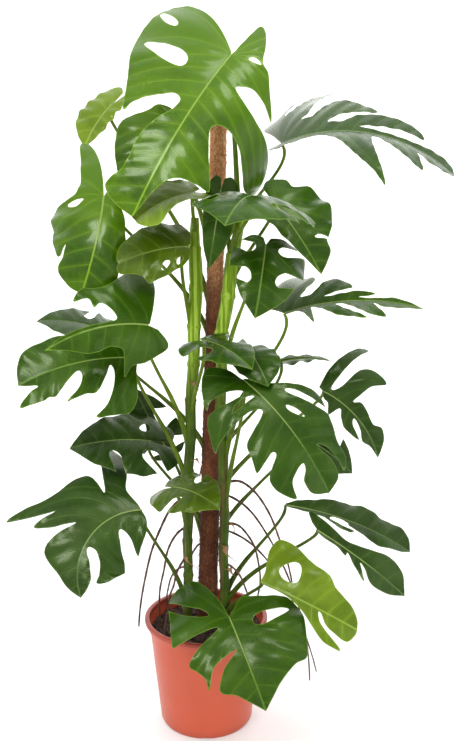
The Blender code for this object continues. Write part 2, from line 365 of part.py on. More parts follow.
        joint=(0.105, -0.100, 0.334), tip=(0.278, -0.160, 0.268), face=(0.10, -0.85, 0.50),
        width=(0.085, 0.055), stem="stems_right", height=0.200,
        left=[hole(0.36, 0.22, 0.030, 0.72)], right=[],
        droop=40, curl=(35, 35), wave=0.004, drop=0.0014,
        outline=([(0.00, 0.00, 0.05), (0.05, 0.00, 0.25), (0.12, -0.06, 0.75), (0.18, -0.03, 1.05),
                  (0.26, 0.12, 1.09), (0.38, 0.34, 0.88), (0.52, 0.56, 0.77), (0.62, 0.66, 0.58),
                  (0.78, 0.86, 0.38), (0.90, 0.96, 0.18), (1.00, 1.00, 0.00)],
                 [(0.00, 0.00, 0.05), (0.15, 0.10, 0.06), (0.28, 0.20, 0.06), (0.36, 0.33, 0.12),
                  (0.43, 0.48, 0.32), (0.49, 0.63, 0.64), (0.53, 0.77, 0.88), (0.59, 0.94, 0.86),
                  (0.62, 0.77, 0.57), (0.65, 0.66, 0.36), (0.68, 0.61, 0.09), (0.72, 0.64, 0.10),
                  (0.77, 0.71, 0.34), (0.83, 0.80, 0.46), (0.90, 0.95, 0.52), (0.95, 1.00, 0.20),
                  (1.00, 1.00, 0.00)])),
    "leaf_pot_front": dict(
        joint=(0.046, -0.142, 0.284), tip=(0.110, -0.254, 0.165), face=(0.05, -0.80, 0.55),
        width=(0.125, 0.120), stem="stems_right", height=0.196,
        left=[hole(0.34, 0.24, 0.020, 0.82)],
        right=[slit(0.105, 0.30, 0.008, 1.0)],
        droop=35, curl=(35, 35), wave=0.004,
        outline=([(0.00, -0.02, 0.04), (0.07, -0.08, 0.14), (0.14, -0.15, 0.30), (0.20, -0.09, 0.56),
                  (0.28, 0.00, 0.90), (0.34, 0.12, 1.02), (0.42, 0.25, 1.04), (0.50, 0.38, 1.00),
                  (0.60, 0.54, 0.92), (0.68, 0.68, 0.82), (0.75, 0.70, 0.63), (0.85, 0.80, 0.35),
                  (0.93, 0.90, 0.17), (1.00, 1.00, 0.00)],
                 [(0.00, -0.10, 0.01), (0.02, -0.30, 0.06), (0.045, -0.62, 0.24), (0.07, -0.65, 0.46),
                  (0.09, -0.56, 0.72), (0.105, -0.42, 0.81), (0.12, -0.34, 0.84), (0.14, -0.22, 0.88),
                  (0.16, -0.04, 0.94), (0.175, 0.05, 0.97), (0.19, 0.06, 0.86), (0.205, 0.06, 0.64),
                  (0.22, 0.06, 0.40), (0.24, 0.08, 0.22), (0.26, 0.13, 0.34), (0.28, 0.20, 0.57),
                  (0.30, 0.26, 0.72), (0.33, 0.33, 0.83), (0.36, 0.41, 0.75), (0.40, 0.52, 0.67),
                  (0.43, 0.63, 0.67), (0.45, 0.45, 0.50), (0.47, 0.38, 0.25), (0.49, 0.36, 0.08),
                  (0.52, 0.42, 0.20), (0.56, 0.50, 0.37), (0.61, 0.67, 0.53), (0.70, 0.76, 0.34),
                  (0.84, 0.87, 0.18), (1.00, 1.00, 0.00)])),
}


# Aerial roots of each stem: height they leave it at, two points they bow to, end, radius
ROOTS = {
    "stems_left": [
        (0.47, (-0.070, -0.050, 0.490), (-0.125, -0.045, 0.330), (-0.130, -0.045, 0.215), 0.0019),
        (0.41, (-0.070, -0.020, 0.420), (-0.100, -0.010, 0.280), (-0.092, -0.005, 0.197), 0.0017),
        (0.36, (-0.060, -0.060, 0.340), (-0.075, -0.060, 0.260), (-0.078, -0.050, 0.197), 0.0015),
        (0.33, (-0.070, 0.010, 0.330), (-0.085, 0.030, 0.240), (-0.080, 0.035, 0.197), 0.0014)],
    "stems_right": [
        (0.50, (0.090, -0.005, 0.530), (0.150, -0.010, 0.400), (0.168, -0.030, 0.300), 0.0018),
        (0.42, (0.090, -0.010, 0.430), (0.130, 0.000, 0.300), (0.090, 0.020, 0.197), 0.0016),
        (0.34, (0.080, -0.050, 0.330), (0.100, -0.030, 0.240), (0.082, -0.020, 0.197), 0.0014)],
    "stems_back": [
        (0.45, (0.090, 0.070, 0.480), (0.205, 0.050, 0.260), (0.212, 0.030, 0.055), 0.0017),
        (0.38, (0.100, 0.090, 0.380), (0.200, 0.080, 0.200), (0.228, 0.055, 0.060), 0.0015),
        (0.35, (-0.040, 0.090, 0.340), (-0.050, 0.080, 0.260), (-0.045, 0.075, 0.197), 0.0015)],
}


def clear_scene():
    for ob in list(bpy.data.objects):
        bpy.data.objects.remove(ob, do_unlink=True)


def new_collection(name):
    coll = bpy.data.collections.new(name)
    bpy.context.scene.collection.children.link(coll)
    return coll


def material(name, colour, roughness):
    mat = bpy.data.materials.new(name)
    mat.use_nodes = True
    shader = mat.node_tree.nodes["Principled BSDF"]
    shader.inputs["Base Color"].default_value = (*colour, 1.0)
    shader.inputs["Roughness"].default_value = roughness
    shader.inputs["Metallic"].default_value = 0.0
    mat.diffuse_color = (*colour, 1.0)
    return mat


def mesh_object(name, mesh, coll, mat=None):
    ob = bpy.data.objects.new(name, mesh)
    coll.objects.link(ob)
    if mat is not None:
        mesh.materials.clear()
        mesh.materials.append(mat)
    return ob


def hermite(place, table):
    """Smooth curve through the outline's points, read at the given places."""
    keys = np.array([row[0] for row in table])
    vals = np.array([row[1:] for row in table])
    slope = np.empty_like(vals)
    slope[1:-1] = (vals[2:] - vals[:-2]) / (keys[2:] - keys[:-2])[:, None]
    slope[0] = (vals[1] - vals[0]) / (keys[1] - keys[0])
    slope[-1] = (vals[-1] - vals[-2]) / (keys[-1] - keys[-2])
    i = np.clip(np.searchsorted(keys, place, side="right") - 1, 0, len(keys) - 2)
    step = (keys[i + 1] - keys[i])[..., None]
    q = (place - keys[i])[..., None] / step
    return ((2 * q**3 - 3 * q**2 + 1) * vals[i] + (q**3 - 2 * q**2 + q) * step * slope[i]
            + (3 * q**2 - 2 * q**3) * vals[i + 1] + (q**3 - q**2) * step * slope[i + 1])


def both(value):
    """A value for each half of a leaf: left, right."""
    return value if isinstance(value, tuple) else (value, value)


def leaf_frame(spec):
    joint = Vector(spec["joint"])
    along = Vector(spec["tip"]) - joint
    chord = along.length
    along.normalize()
    across = Vector(spec["face"]).cross(along).normalized()
    up = along.cross(across)
    droop = math.radians(spec["droop"]) / 2
    bow = math.radians(spec.get("bow", 0.01)) / 2
    return joint, along, across, up, chord * droop / math.sin(droop) * bow / math.sin(bow)


def toward(place, t, spec, i):
    """The point that lies the share t of the way from the midrib to the margin."""
    place = np.atleast_1d(np.asarray(place, float))
    table = spec["outline"][i] if "outline" in spec else OUTLINE
    mx, my = hermite(place, table).T
    mx = np.where(mx < 0, mx * both(spec.get("back", 1.0))[i], mx)
    width = spec["width"][i] / leaf_frame(spec)[4]
    my = my * width
    mx = mx + both(spec.get("sweep", 0.0))[i] * my * np.minimum(1, 1.6 * (1 - place))
    ends = [c[0] for c in spec[("left", "right")[i]] if c[4] == 1]
    reach = spec.get("reach", ([], []))[i]
    finger = np.searchsorted(ends, place)
    grow = np.array([reach[f] if f < len(reach) else 1.0 for f in finger])
    root = np.clip((place - 0.2) / 0.8, 0, 1)
    fx = (1 - t)**2 * root + 2 * t * (1 - t) * (root + 0.30 * (mx - root)) + t**2 * mx
    fy = (1.24 * t - 0.24 * t**2) * my
    grow = 1 + (grow - 1) * t**1.5
    return np.stack([root + (fx - root) * grow, fy * grow], -1)


def cut_edge(cut, spec, i, edge, shares):
    """Points along one edge of a slit or hole, from its inner end outwards."""
    place, start, half, flare, end = cut
    t = start + (end - start) * shares
    if end < 1:
        gap = np.sqrt(np.clip(1 - (2 * shares - 1)**2, 0, 1))
    else:
        gap = np.minimum(1, np.sqrt(shares / 0.25)) * (1 + (flare - 1) * shares)
    gap = both(half)[edge] * gap / np.clip(t, 0.3, 1)
    return toward(place + (gap if edge else -gap), t, spec, i)


def half_margin(spec, i, step=MARGIN_STEP, shares=(0.0, 0.12, 0.5, 1.0)):
    """One half's margin from joint to tip, in shares of the length, with its slits."""
    table = spec["outline"][i] if "outline" in spec else OUTLINE
    places = np.array([row[0] for row in table]) if "outline" in spec else np.arange(0, 1, step)
    shares = np.array(shares)
    slits = [c for c in spec[("left", "right")[i]] if c[4] == 1]
    points = []
    low = -1.0
    for cut in slits + [None]:
        mouth = both(cut[2]) if cut else (0, 0)
        high = cut[0] - mouth[0] * cut[3] - 0.008 if cut else 1.0
        inner = places[(places > low) & (places < high)]
        points.append(toward(inner, 1.0, spec, i))
        if cut:
            points.append(cut_edge(cut, spec, i, 0, shares[::-1]))
            points.append(cut_edge(cut, spec, i, 1, shares[1:]))
            low = cut[0] + mouth[1] * cut[3] + 0.008
    return np.concatenate(points)


def inside(points, loop):
    """Which points lie within a closed loop, and how far each is from it."""
    a, b = loop, np.roll(loop, -1, 0)
    px, py = points[:, None, 0], points[:, None, 1]
    span = (a[:, 1] > py) != (b[:, 1] > py)
    rise = np.where(b[:, 1] == a[:, 1], 1e-12, b[:, 1] - a[:, 1])
    hits = span & (px < (b[:, 0] - a[:, 0]) * (py - a[:, 1]) / rise + a[:, 0])
    run = b - a
    q = np.clip(((points[:, None] - a) * run).sum(-1) / (run**2).sum(-1), 0, 1)
    far = np.linalg.norm(points[:, None] - a - q[..., None] * run, axis=-1).min(1)
    return hits.sum(1) % 2 == 1, far


def flat_blade(spec, net=NET, clear=NET_CLEAR):
    """The flat blade: points in metres from the joint, and triangles."""
    length = leaf_frame(spec)[4]
    left, right = [half_margin(spec, i) * (length, length * side) for i, side in ((0, 1), (1, -1))]
    loop = np.concatenate([[(0.0, 0.0)], left, [(length, 0.0)], right[::-1]])
    shares = np.linspace(0, 1, 6)
    holes = []
    for i, side in ((0, 1), (1, -1)):
        for c in spec[("left", "right")[i]]:
            if c[4] < 1:
                ring = [cut_edge(c, spec, i, 0, shares), cut_edge(c, spec, i, 1, shares[-2:0:-1])]
                holes.append(np.concatenate(ring) * (length, length * side))
    small = min(1, length / NET_FULL)
    net, clear = net * small, clear * small
    rows = int(BLADE_SPREAD / net)
    grid = [((m + n % 2 / 2) * net, n * net * 0.87) for m in range(-rows, rows) for n in range(-rows, rows)]
    grid = np.array(grid)
    rib_count = max(4, round(length / net))
    rib = np.array([(length * n / rib_count, 0.0) for n in range(1, rib_count)])
    keep, far = inside(grid, loop)
    keep &= far > clear
    for ring in holes:
        out, far = inside(grid, ring)
        keep &= ~out & (far > clear)
    keep &= ~((np.abs(grid[:, 1]) < net * 0.5) & (grid[:, 0] > -net) & (grid[:, 0] < length + net))
    points = [tuple(p) for p in loop]
    edges = [(k, (k + 1) % len(loop)) for k in range(len(loop))]
    for ring in holes:
        first = len(points)
        points += [tuple(p) for p in ring]
        edges += [(first + k, first + (k + 1) % len(ring)) for k in range(len(ring))]
    points += [tuple(p) for p in rib] + [tuple(p) for p in grid[keep]]
    result = delaunay_2d_cdt([Vector(p) for p in points], edges, [], 0, 1e-6)
    flat = np.array([tuple(v) for v in result[0]])
    faces = np.array([f for f in result[2]])
    middle = flat[faces].mean(1)
    good = inside(middle, loop)[0]
    for ring in holes:
        good &= ~inside(middle, ring)[0]
    return flat, faces[good]


def bend(flat, spec):
    """Bends the flat leaf: fold along the midrib, curl of the sides, bow, droop and a light wave."""
    length = leaf_frame(spec)[4]
    x, y = flat.T
    half = np.where(y < 0, 1, 0)
    y = np.abs(y)
    side = 1 - 2 * half
    width = np.array(spec["width"])[half]
    fold = np.radians(both(spec.get("fold", 12)))[half]
    k = np.radians(both(spec.get("curl", 45)))[half] / width
    off = side * (np.sin(fold) - np.sin(fold - k * y)) / k
    z = (np.cos(fold - k * y) - np.cos(fold)) / k
    z = z + spec.get("wave", 0.012) * np.minimum(1, y / width)**2 * np.sin(20 * x / length + 2 + half)
    bow = math.radians(spec.get("bow", 0.01))
    head = bow / 2 - bow * x / length
    run = length / bow * (math.sin(bow / 2) - np.sin(head)) - off * np.sin(head)
    out = length / bow * (np.cos(head) - math.cos(bow / 2)) + off * np.cos(head)
    d = math.radians(spec["droop"])
    turn = d / (2 * length / bow * math.sin(bow / 2))
    angle = d / 2 - turn * run
    xm = (math.sin(d / 2) - np.sin(angle)) / turn
    zm = (np.cos(angle) - math.cos(d / 2)) / turn
    return np.stack([xm - z * np.sin(angle), out, zm + z * np.cos(angle)], -1)


def blade(name, spec, coll, mat):
    """An open sheet of triangles, bent and then given its thickness."""
    flat, faces = flat_blade(spec)
    mesh = bpy.data.meshes.new(name)
    mesh.from_pydata(bend(flat, spec).tolist(), [], faces.tolist())
    bm = bmesh.new()
    bm.from_mesh(mesh)
    bmesh.ops.delete(bm, geom=[v for v in bm.verts if not v.link_faces], context="VERTS")
    bmesh.ops.remove_doubles(bm, verts=bm.verts, dist=0.0004)
    bmesh.ops.recalc_face_normals(bm, faces=bm.faces)
    if sum(f.normal.z * f.calc_area() for f in bm.faces) < 0:
        bmesh.ops.reverse_faces(bm, faces=bm.faces)
    bm.to_mesh(mesh)
    bm.free()
    mesh.shade_smooth()
    joint, along, across, up, length = leaf_frame(spec)
    ob = mesh_object(name, mesh, coll, mat)
    turn = Matrix((along, across, up)).transposed()
    ob.matrix_world = Matrix.Translation(joint) @ turn.to_4x4()
    solid = ob.modifiers.new("Thickness", "SOLIDIFY")
    solid.thickness = BLADE_THICK
    solid.offset = 0.0
    solid.use_even_offset = False
    return ob


def stem_point(points, height):
    """The place on a stem's axis at a height."""
    rows = np.array(points)
    return [float(np.interp(height, rows[:, 2], rows[:, i])) for i in range(3)]


def tube(name, points, radii, coll, resolution=1):
    """A tube through points, with caps, made a mesh."""
    curve = bpy.data.curves.new(name, "CURVE")
    curve.dimensions = "3D"
    curve.bevel_depth = 1.0
    curve.bevel_resolution = resolution
    curve.use_fill_caps = True
    spline = curve.splines.new("POLY")
    spline.points.add(len(points) - 1)
    for p, co, radius in zip(spline.points, points, radii):
        p.co = (*co, 1.0)
        p.radius = radius
    return curve_to_mesh(name, curve, coll)


def curve_to_mesh(name, curve, coll):
    holder = bpy.data.objects.new(name + "_curve", curve)
    coll.objects.link(holder)
    deps = bpy.context.evaluated_depsgraph_get()
    mesh = bpy.data.meshes.new_from_object(holder.evaluated_get(deps))
    bm = bmesh.new()
    bm.from_mesh(mesh)
    bmesh.ops.remove_doubles(bm, verts=bm.verts, dist=0.00001)
    bmesh.ops.recalc_face_normals(bm, faces=bm.faces)
    bm.to_mesh(mesh)
    bm.free()
    ob = mesh_object(name, mesh, coll)
    ob.matrix_world = holder.matrix_world
    bpy.data.objects.remove(holder, do_unlink=True)
    return ob


def bezier(p0, p1, p2, p3, count):
    t = np.linspace(0, 1, count)[:, None]
    return (1 - t)**3 * p0 + 3 * t * (1 - t)**2 * p1 + 3 * t**2 * (1 - t) * p2 + t**3 * p3


def petiole_path(spec, count=PETIOLE_POINTS):
    """From the stem's axis up and out, then into the back of the blade at its joint."""
    joint, along, across, up, length = leaf_frame(spec)
    d = math.radians(spec["droop"]) / 2
    normal = np.array(up) * math.cos(d) - np.array(along) * math.sin(d)
    end = np.array(joint) - normal * spec.get("drop", JOINT_DROP)
    start = np.array(stem_point(STEMS[spec["stem"]], spec["height"]))
    far = float(np.linalg.norm(end - start))
    rise = np.array(spec.get("rise", (0.0, 0.0, 1.0)))
    rise = rise / np.linalg.norm(rise)
    into = np.array(spec["arrive"]) if "arrive" in spec else normal - np.array(along) * 0.1
    into = into / np.linalg.norm(into)
    path = bezier(start, start + rise * far * 0.40, end - into * far * 0.22, end, count)
    return path, np.linspace(PETIOLE_FOOT, PETIOLE_THICK, count)


def join_all(target, others):
    """One Boolean union of the target with a collection of the others."""
    coll = new_collection(target.name + "_branches")
    for ob in others:
        for user in list(ob.users_collection):
            user.objects.unlink(ob)
        coll.objects.link(ob)
    mod = target.modifiers.new("Join", "BOOLEAN")
    mod.operation = "UNION"
    mod.operand_type = "COLLECTION"
    mod.collection = coll
    mod.solver = "EXACT"
    apply_modifiers(target)
    for ob in others:
        bpy.data.objects.remove(ob, do_unlink=True)
    bpy.data.collections.remove(coll)


def apply_modifiers(ob):
    deps = bpy.context.evaluated_depsgraph_get()
    deps.update()
    mesh = bpy.data.meshes.new_from_object(ob.evaluated_get(deps))
    ob.modifiers.clear()
    ob.data = mesh


def stem_tube(name, points, grow, coll, below=0.0):
    rows = np.array(points)
    rows[0, 2] -= below
    return tube(name, rows[:, :3], rows[:, 3] + grow, coll, resolution=2)


def stems(name, coll, mat):
    """A climbing stem with the petioles that grow from it, fused."""
    main = stem_tube(name, STEMS[name], 0.0, coll)
    arms = []
    for leaf, spec in LEAVES.items():
        if spec["stem"] == name:
            path, radii = petiole_path(spec)
            arms.append(tube(leaf + "_petiole", path, radii, coll, PETIOLE_SIDES))
    for height, near, far, end, radius in ROOTS[name]:
        start = np.array(stem_point(STEMS[name], height))
        path = bezier(start, np.array(near), np.array(far), np.array(end), ROOT_POINTS)
        taper = np.linspace(1.0, 0.6, ROOT_POINTS)
        arms.append(tube(name + "_root", path, radius * taper, coll, PETIOLE_SIDES))
    join_all(main, arms)
    main.data.materials.clear()
    main.data.materials.append(mat)
    main.data.shade_smooth()
    return main


def turned(name, profile, steps, coll, mat):
    """A profile in the XZ plane turned about Z."""
    mesh = bpy.data.meshes.new(name)
    mesh.from_pydata([(x, 0.0, z) for x, z in profile], [(i, i + 1) for i in range(len(profile) - 1)], [])
    ob = mesh_object(name, mesh, coll, mat)
    screw = ob.modifiers.new("Turn", "SCREW")
    screw.steps = steps
    screw.render_steps = steps
    screw.use_merge_vertices = True
    screw.merge_threshold = 0.0001
    screw.use_smooth_shade = True
    return ob


def cut(target, cutters, coll):
    for cutter in cutters:
        for user in list(cutter.users_collection):
            user.objects.unlink(cutter)
        coll.objects.link(cutter)
        cutter.hide_render = True
        cutter.display_type = "WIRE"
        mod = target.modifiers.new("Cut", "BOOLEAN")
        mod.operation = "DIFFERENCE"
        mod.object = cutter
        mod.solver = "EXACT"


def pot(coll, cutters, mat):
    rim_z = POT_HEIGHT
    band_z = rim_z - RIM_BAND
    collar_z = band_z - COLLAR_HEIGHT
    profile = [
        (0.0, FLOOR), (WALL_FOOT_RADIUS - WALL - 0.004, FLOOR), (WALL_FOOT_RADIUS - WALL, FLOOR + 0.004),
        (WALL_TOP_RADIUS - WALL, collar_z), (RIM_INNER - 0.001, band_z), (RIM_INNER, rim_z - 0.001),
        (RIM_INNER + 0.001, rim_z), (RIM_RADIUS - 0.0015, rim_z), (RIM_RADIUS, rim_z - 0.0015),
        (RIM_RADIUS, band_z + 0.001), (RIM_RADIUS - 0.001, band_z), (RIM_INNER + 0.0025, band_z - 0.001),
        (RIM_INNER + 0.0015, collar_z + 0.002), (WALL_TOP_RADIUS, collar_z),
        (WALL_FOOT_RADIUS, FOOT_CHAMFER), (BASE_RADIUS, 0.0), (0.0, 0.0)]
    ob = turned("pot", profile, 48, coll, mat)
    tools = []
    for i in range(NOTCH_COUNT):
        angle = 2 * math.pi * (i + 0.5) / NOTCH_COUNT
        bpy.ops.mesh.primitive_cube_add(size=1, rotation=(0, 0, angle))
        box = bpy.context.object
        box.name = "notch_cutter"
        box.scale = (2 * NOTCH_SIZE[0], NOTCH_SIZE[1], 2 * NOTCH_SIZE[2])
        box.location = (math.cos(angle) * WALL_FOOT_RADIUS, math.sin(angle) * WALL_FOOT_RADIUS, 0)
        tools.append(box)
    for i in range(DRAIN_COUNT):
        angle = 2 * math.pi * i / DRAIN_COUNT
        where = (math.cos(angle) * DRAIN_RING, math.sin(angle) * DRAIN_RING, FLOOR / 2)
        bpy.ops.mesh.primitive_cylinder_add(vertices=12, radius=DRAIN_RADIUS, depth=4 * FLOOR,
                                            location=where)
        bpy.context.object.name = "drain_cutter"
        tools.append(bpy.context.object)
    cut(ob, tools, cutters)
    return ob


def soil(coll, cutters, mat):
    top = SOIL_LEVEL
    slope = (WALL_TOP_RADIUS - WALL_FOOT_RADIUS) / (POT_HEIGHT - RIM_BAND - COLLAR_HEIGHT - FOOT_CHAMFER)
    foot = WALL_FOOT_RADIUS - WALL - 0.005
    edge = WALL_FOOT_RADIUS - WALL - CLEAR * 2 + slope * (top - FOOT_CHAMFER)
    base = FLOOR + CLEAR
    profile = [(0.0, top)]
    profile += [(edge * f, top) for f in (0.2, 0.4, 0.6, 0.8, 0.97)]
    profile += [(edge, top - 0.002), (foot + 0.003, base + 0.012), (foot, base), (0.0, base)]
    ob = turned("soil", profile, SOIL_TURN, coll, mat)
    apply_modifiers(ob)
    for v in ob.data.vertices:
        if v.co.z > top - 0.001:
            x, y = v.co.x, v.co.y
            humps = math.sin(95 * x + 1.0) * math.sin(110 * y + 2.0)
            v.co.z += SOIL_BUMP * (humps + 0.5 * math.sin(210 * x + 160 * y))
    tools = [stem_tube(name + "_hole", points, CLEAR, coll) for name, points in STEMS.items()]
    for tool in tools:
        tool.location.z -= CLEAR
    tools.append(pole_mesh("pole_hole", coll, CLEAR))
    cut(ob, tools, cutters)
    return ob


def pole_mesh(name, coll, grow=0.0):
    """The coir pole: a tapered, lightly ridged round post with a domed top."""
    low, high = np.array(POLE_BOTTOM), np.array(POLE_TOP)
    shares = [0.0, 0.16, 0.36, 0.56, 0.76, 0.92, 0.985, 1.0]
    sizes = [1.0, 1.0, 1.0, 1.0, 1.0, 1.0, 0.88, 0.45]
    path = [low + (high - low) * s for s in shares]
    path[0][2] -= grow
    if grow:
        path[-1][2] += grow
    radii = []
    for s, size in zip(shares, sizes):
        radius = POLE_FOOT_RADIUS + (POLE_TOP_RADIUS - POLE_FOOT_RADIUS) * min(1, s * 1.15)
        radii.append((radius + POLE_RIDGE * math.sin(40 * s)) * size + grow)
    return tube(name, path, radii, coll, resolution=4)


def build():
    clear_scene()
    parts = new_collection("potted_swiss_cheese_plant")
    cutters = new_collection("cutters")
    blade_mat = material("leaf_green", (0.045, 0.16, 0.03), 0.38)
    stem_mat = material("stem_green", (0.20, 0.32, 0.07), 0.5)
    pot_mat = material("terracotta_plastic", (0.62, 0.16, 0.085), 0.42)
    soil_mat = material("soil_brown", (0.045, 0.024, 0.016), 0.95)
    coir_mat = material("coir_brown", (0.22, 0.095, 0.05), 0.95)
    pot(parts, cutters, pot_mat)
    soil(parts, cutters, soil_mat)
    pole = pole_mesh("coir_pole", parts)
    pole.data.materials.append(coir_mat)
    pole.data.shade_smooth()
    for name in STEMS:
        stems(name, parts, stem_mat)
    for name, spec in LEAVES.items():
        blade(name, spec, parts, blade_mat)


build()
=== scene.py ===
import math
import random

import bmesh
import bpy
import numpy as np
from mathutils import Matrix, Vector
from mathutils.geometry import delaunay_2d_cdt


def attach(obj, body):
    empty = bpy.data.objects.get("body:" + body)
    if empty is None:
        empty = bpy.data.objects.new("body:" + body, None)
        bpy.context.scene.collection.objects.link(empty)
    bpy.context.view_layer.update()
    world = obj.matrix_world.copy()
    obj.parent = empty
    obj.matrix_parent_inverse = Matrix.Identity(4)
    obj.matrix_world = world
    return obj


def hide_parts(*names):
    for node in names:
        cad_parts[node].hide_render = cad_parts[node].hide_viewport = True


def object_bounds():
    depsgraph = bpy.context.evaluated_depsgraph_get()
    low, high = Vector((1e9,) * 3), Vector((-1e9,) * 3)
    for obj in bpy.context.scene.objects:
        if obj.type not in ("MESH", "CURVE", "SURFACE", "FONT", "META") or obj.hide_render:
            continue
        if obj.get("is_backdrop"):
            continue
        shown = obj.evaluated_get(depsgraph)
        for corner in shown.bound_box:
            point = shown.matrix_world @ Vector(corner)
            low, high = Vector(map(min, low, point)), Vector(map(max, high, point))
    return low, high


# A swiss cheese plant on a coir pole, in a plastic nursery pot. Metres, front at -Y.
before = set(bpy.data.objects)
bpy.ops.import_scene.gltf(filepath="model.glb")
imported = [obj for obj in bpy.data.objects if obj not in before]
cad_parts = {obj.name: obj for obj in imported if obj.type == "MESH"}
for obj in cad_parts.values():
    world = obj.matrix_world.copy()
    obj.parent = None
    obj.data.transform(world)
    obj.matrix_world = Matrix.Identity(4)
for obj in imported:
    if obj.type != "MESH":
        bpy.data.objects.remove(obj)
cadBox = [list(corner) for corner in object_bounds()]


def deselect():
    bpy.ops.object.select_all(action="DESELECT")


def pick(ob):
    # makes one object the only selected and active one
    deselect()
    ob.select_set(True)
    bpy.context.view_layer.objects.active = ob


def begin(add, **settings):
    # adds a primitive at its size and place
    deselect()
    add(**settings)
    bpy.ops.object.transform_apply(location=True, rotation=False, scale=False)
    return bpy.context.object


def editing(on):
    bpy.ops.object.mode_set(mode="EDIT" if on else "OBJECT")


def choose(ob, kind, test):
    # in edit mode: selects the edges or the faces that the test picks
    bpy.context.tool_settings.mesh_select_mode = (False, kind == "edges", kind == "faces")
    mesh = bmesh.from_edit_mesh(ob.data)
    for item in getattr(mesh, kind):
        item.select = bool(test(item))
    bmesh.update_edit_mesh(ob.data)


def shaped(ob, kind, **settings):
    # adds a modifier and applies it
    pick(ob)
    modifier = ob.modifiers.new(kind.lower(), kind)
    for key, value in settings.items():
        setattr(modifier, key, value)
    bpy.ops.object.modifier_apply(modifier=modifier.name)


def roughened(ob, name, grain, **settings):
    # pushes the surface in and out by a cloudy texture
    texture = bpy.data.textures.new(name, "CLOUDS")
    texture.noise_scale = grain
    shaped(ob, "DISPLACE", texture=texture, texture_coords="LOCAL", **settings)


def smoothed(ob, degrees):
    pick(ob)
    bpy.ops.object.shade_smooth_by_angle(angle=math.radians(degrees))


def wear(ob, looks, kind=None):
    # gives an object its materials; each face keeps its own unless kind says which
    kinds = [face.material_index if kind is None else kind for face in ob.data.polygons]
    ob.data.materials.clear()
    for look in looks:
        ob.data.materials.append(look)
    ob.data.polygons.foreach_set("material_index", kinds)


def addPiece(ob, name, nodes, looks):
    # names a finished piece, hangs it on the root body and hides the nodes it stands for
    ob.name = name
    ob.data.name = name
    wear(ob, looks)
    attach(ob, "root")
    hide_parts(*nodes)


def meshObject(name, points, faces):
    mesh = bpy.data.meshes.new(name)
    mesh.from_pydata([tuple(p) for p in points], [], [tuple(f) for f in faces])
    ob = bpy.data.objects.new(name, mesh)
    bpy.context.scene.collection.objects.link(ob)
    return ob


def joinInto(target, others):
    deselect()
    for ob in others:
        ob.select_set(True)
    target.select_set(True)
    bpy.context.view_layer.objects.active = target
    bpy.ops.object.join()


class Value:
    # a socket that can be used in ordinary sums
    def __init__(self, look, socket):
        self.look = look
        self.socket = socket

    def sum(self, kind, *others):
        return self.look.node("ShaderNodeMath", {"operation": kind}, dict(enumerate(others)))

    def __add__(self, other):
        return self.sum("ADD", self, other)

    def __radd__(self, other):
        return self.sum("ADD", other, self)

    def __sub__(self, other):
        return self.sum("SUBTRACT", self, other)

    def __rsub__(self, other):
        return self.sum("SUBTRACT", other, self)

    def __mul__(self, other):
        return self.sum("MULTIPLY", self, other)

    def __rmul__(self, other):
        return self.sum("MULTIPLY", other, self)

    def __abs__(self):
        return self.sum("ABSOLUTE", self)

    def part(self):
        return self.sum("FRACT", self)

    def ramp(self, low, high):
        # 0 below low, 1 above high, smooth between, or the other way round if low is larger
        return self.look.node("ShaderNodeMapRange", {"interpolation_type": "SMOOTHSTEP"},
                              {0: self, 1: low, 2: high, 3: 0.0, 4: 1.0})


class Look:
    # a material built up node by node
    def __init__(self, name, **flat):
        self.material = bpy.data.materials.new(name)
        self.material.use_nodes = True
        self.tree = self.material.node_tree
        self.shader = self.tree.nodes["Principled BSDF"]
        for socket, value in flat.items():
            self.shader.inputs[socket.replace("_", " ")].default_value = value

    def node(self, kind, settings, sockets, output=0):
        made = self.tree.nodes.new(kind)
        for key, value in settings.items():
            setattr(made, key, value)
        for key, value in sockets.items():
            if isinstance(value, Value):
                self.tree.links.new(value.socket, made.inputs[key])
            else:
                made.inputs[key].default_value = value
        return Value(self, made.outputs[output])

    def place(self):
        return self.node("ShaderNodeTexCoord", {}, {}, "Object")

    def stretch(self, scale):
        return self.node("ShaderNodeMapping", {}, {0: self.place(), 3: scale})

    def noise(self, scale, detail=3.0, rough=0.55, at=None):
        at = at or self.place()
        return self.node("ShaderNodeTexNoise", {}, {"Vector": at, "Scale": scale, "Detail": detail,
                                                    "Roughness": rough})

    def cells(self, scale, feature="DISTANCE_TO_EDGE"):
        return self.node("ShaderNodeTexVoronoi", {"feature": feature}, {"Vector": self.place(), "Scale": scale})

    def axis(self, number, vector=None):
        # x, y or z of a vector, or of the place
        return self.node("ShaderNodeSeparateXYZ", {}, {0: vector or self.place()}, number)

    def attribute(self, name):
        vector = self.node("ShaderNodeAttribute", {"attribute_name": name}, {}, "Vector")
        return [self.axis(k, vector) for k in range(3)]

    def mix(self, share, first, second):
        first, second = [c if isinstance(c, Value) else (*c, 1.0) for c in (first, second)]
        return self.node("ShaderNodeMix", {"data_type": "RGBA"}, {0: share, 6: first, 7: second}, 2)

    def layers(self, base, *coats):
        # lays colours over a base one by one, each with its share
        for share, colour in coats:
            base = self.mix(share, base, colour)
        return base

    def feed(self, **values):
        for socket, value in values.items():
            self.tree.links.new(value.socket, self.shader.inputs[socket.replace("_", " ")])
        return self.material

    def bump(self, height, depth, strength=1.0, before=None):
        sockets = {"Height": height, "Distance": depth, "Strength": strength}
        if before:
            sockets["Normal"] = before
        return self.node("ShaderNodeBump", {}, sockets)


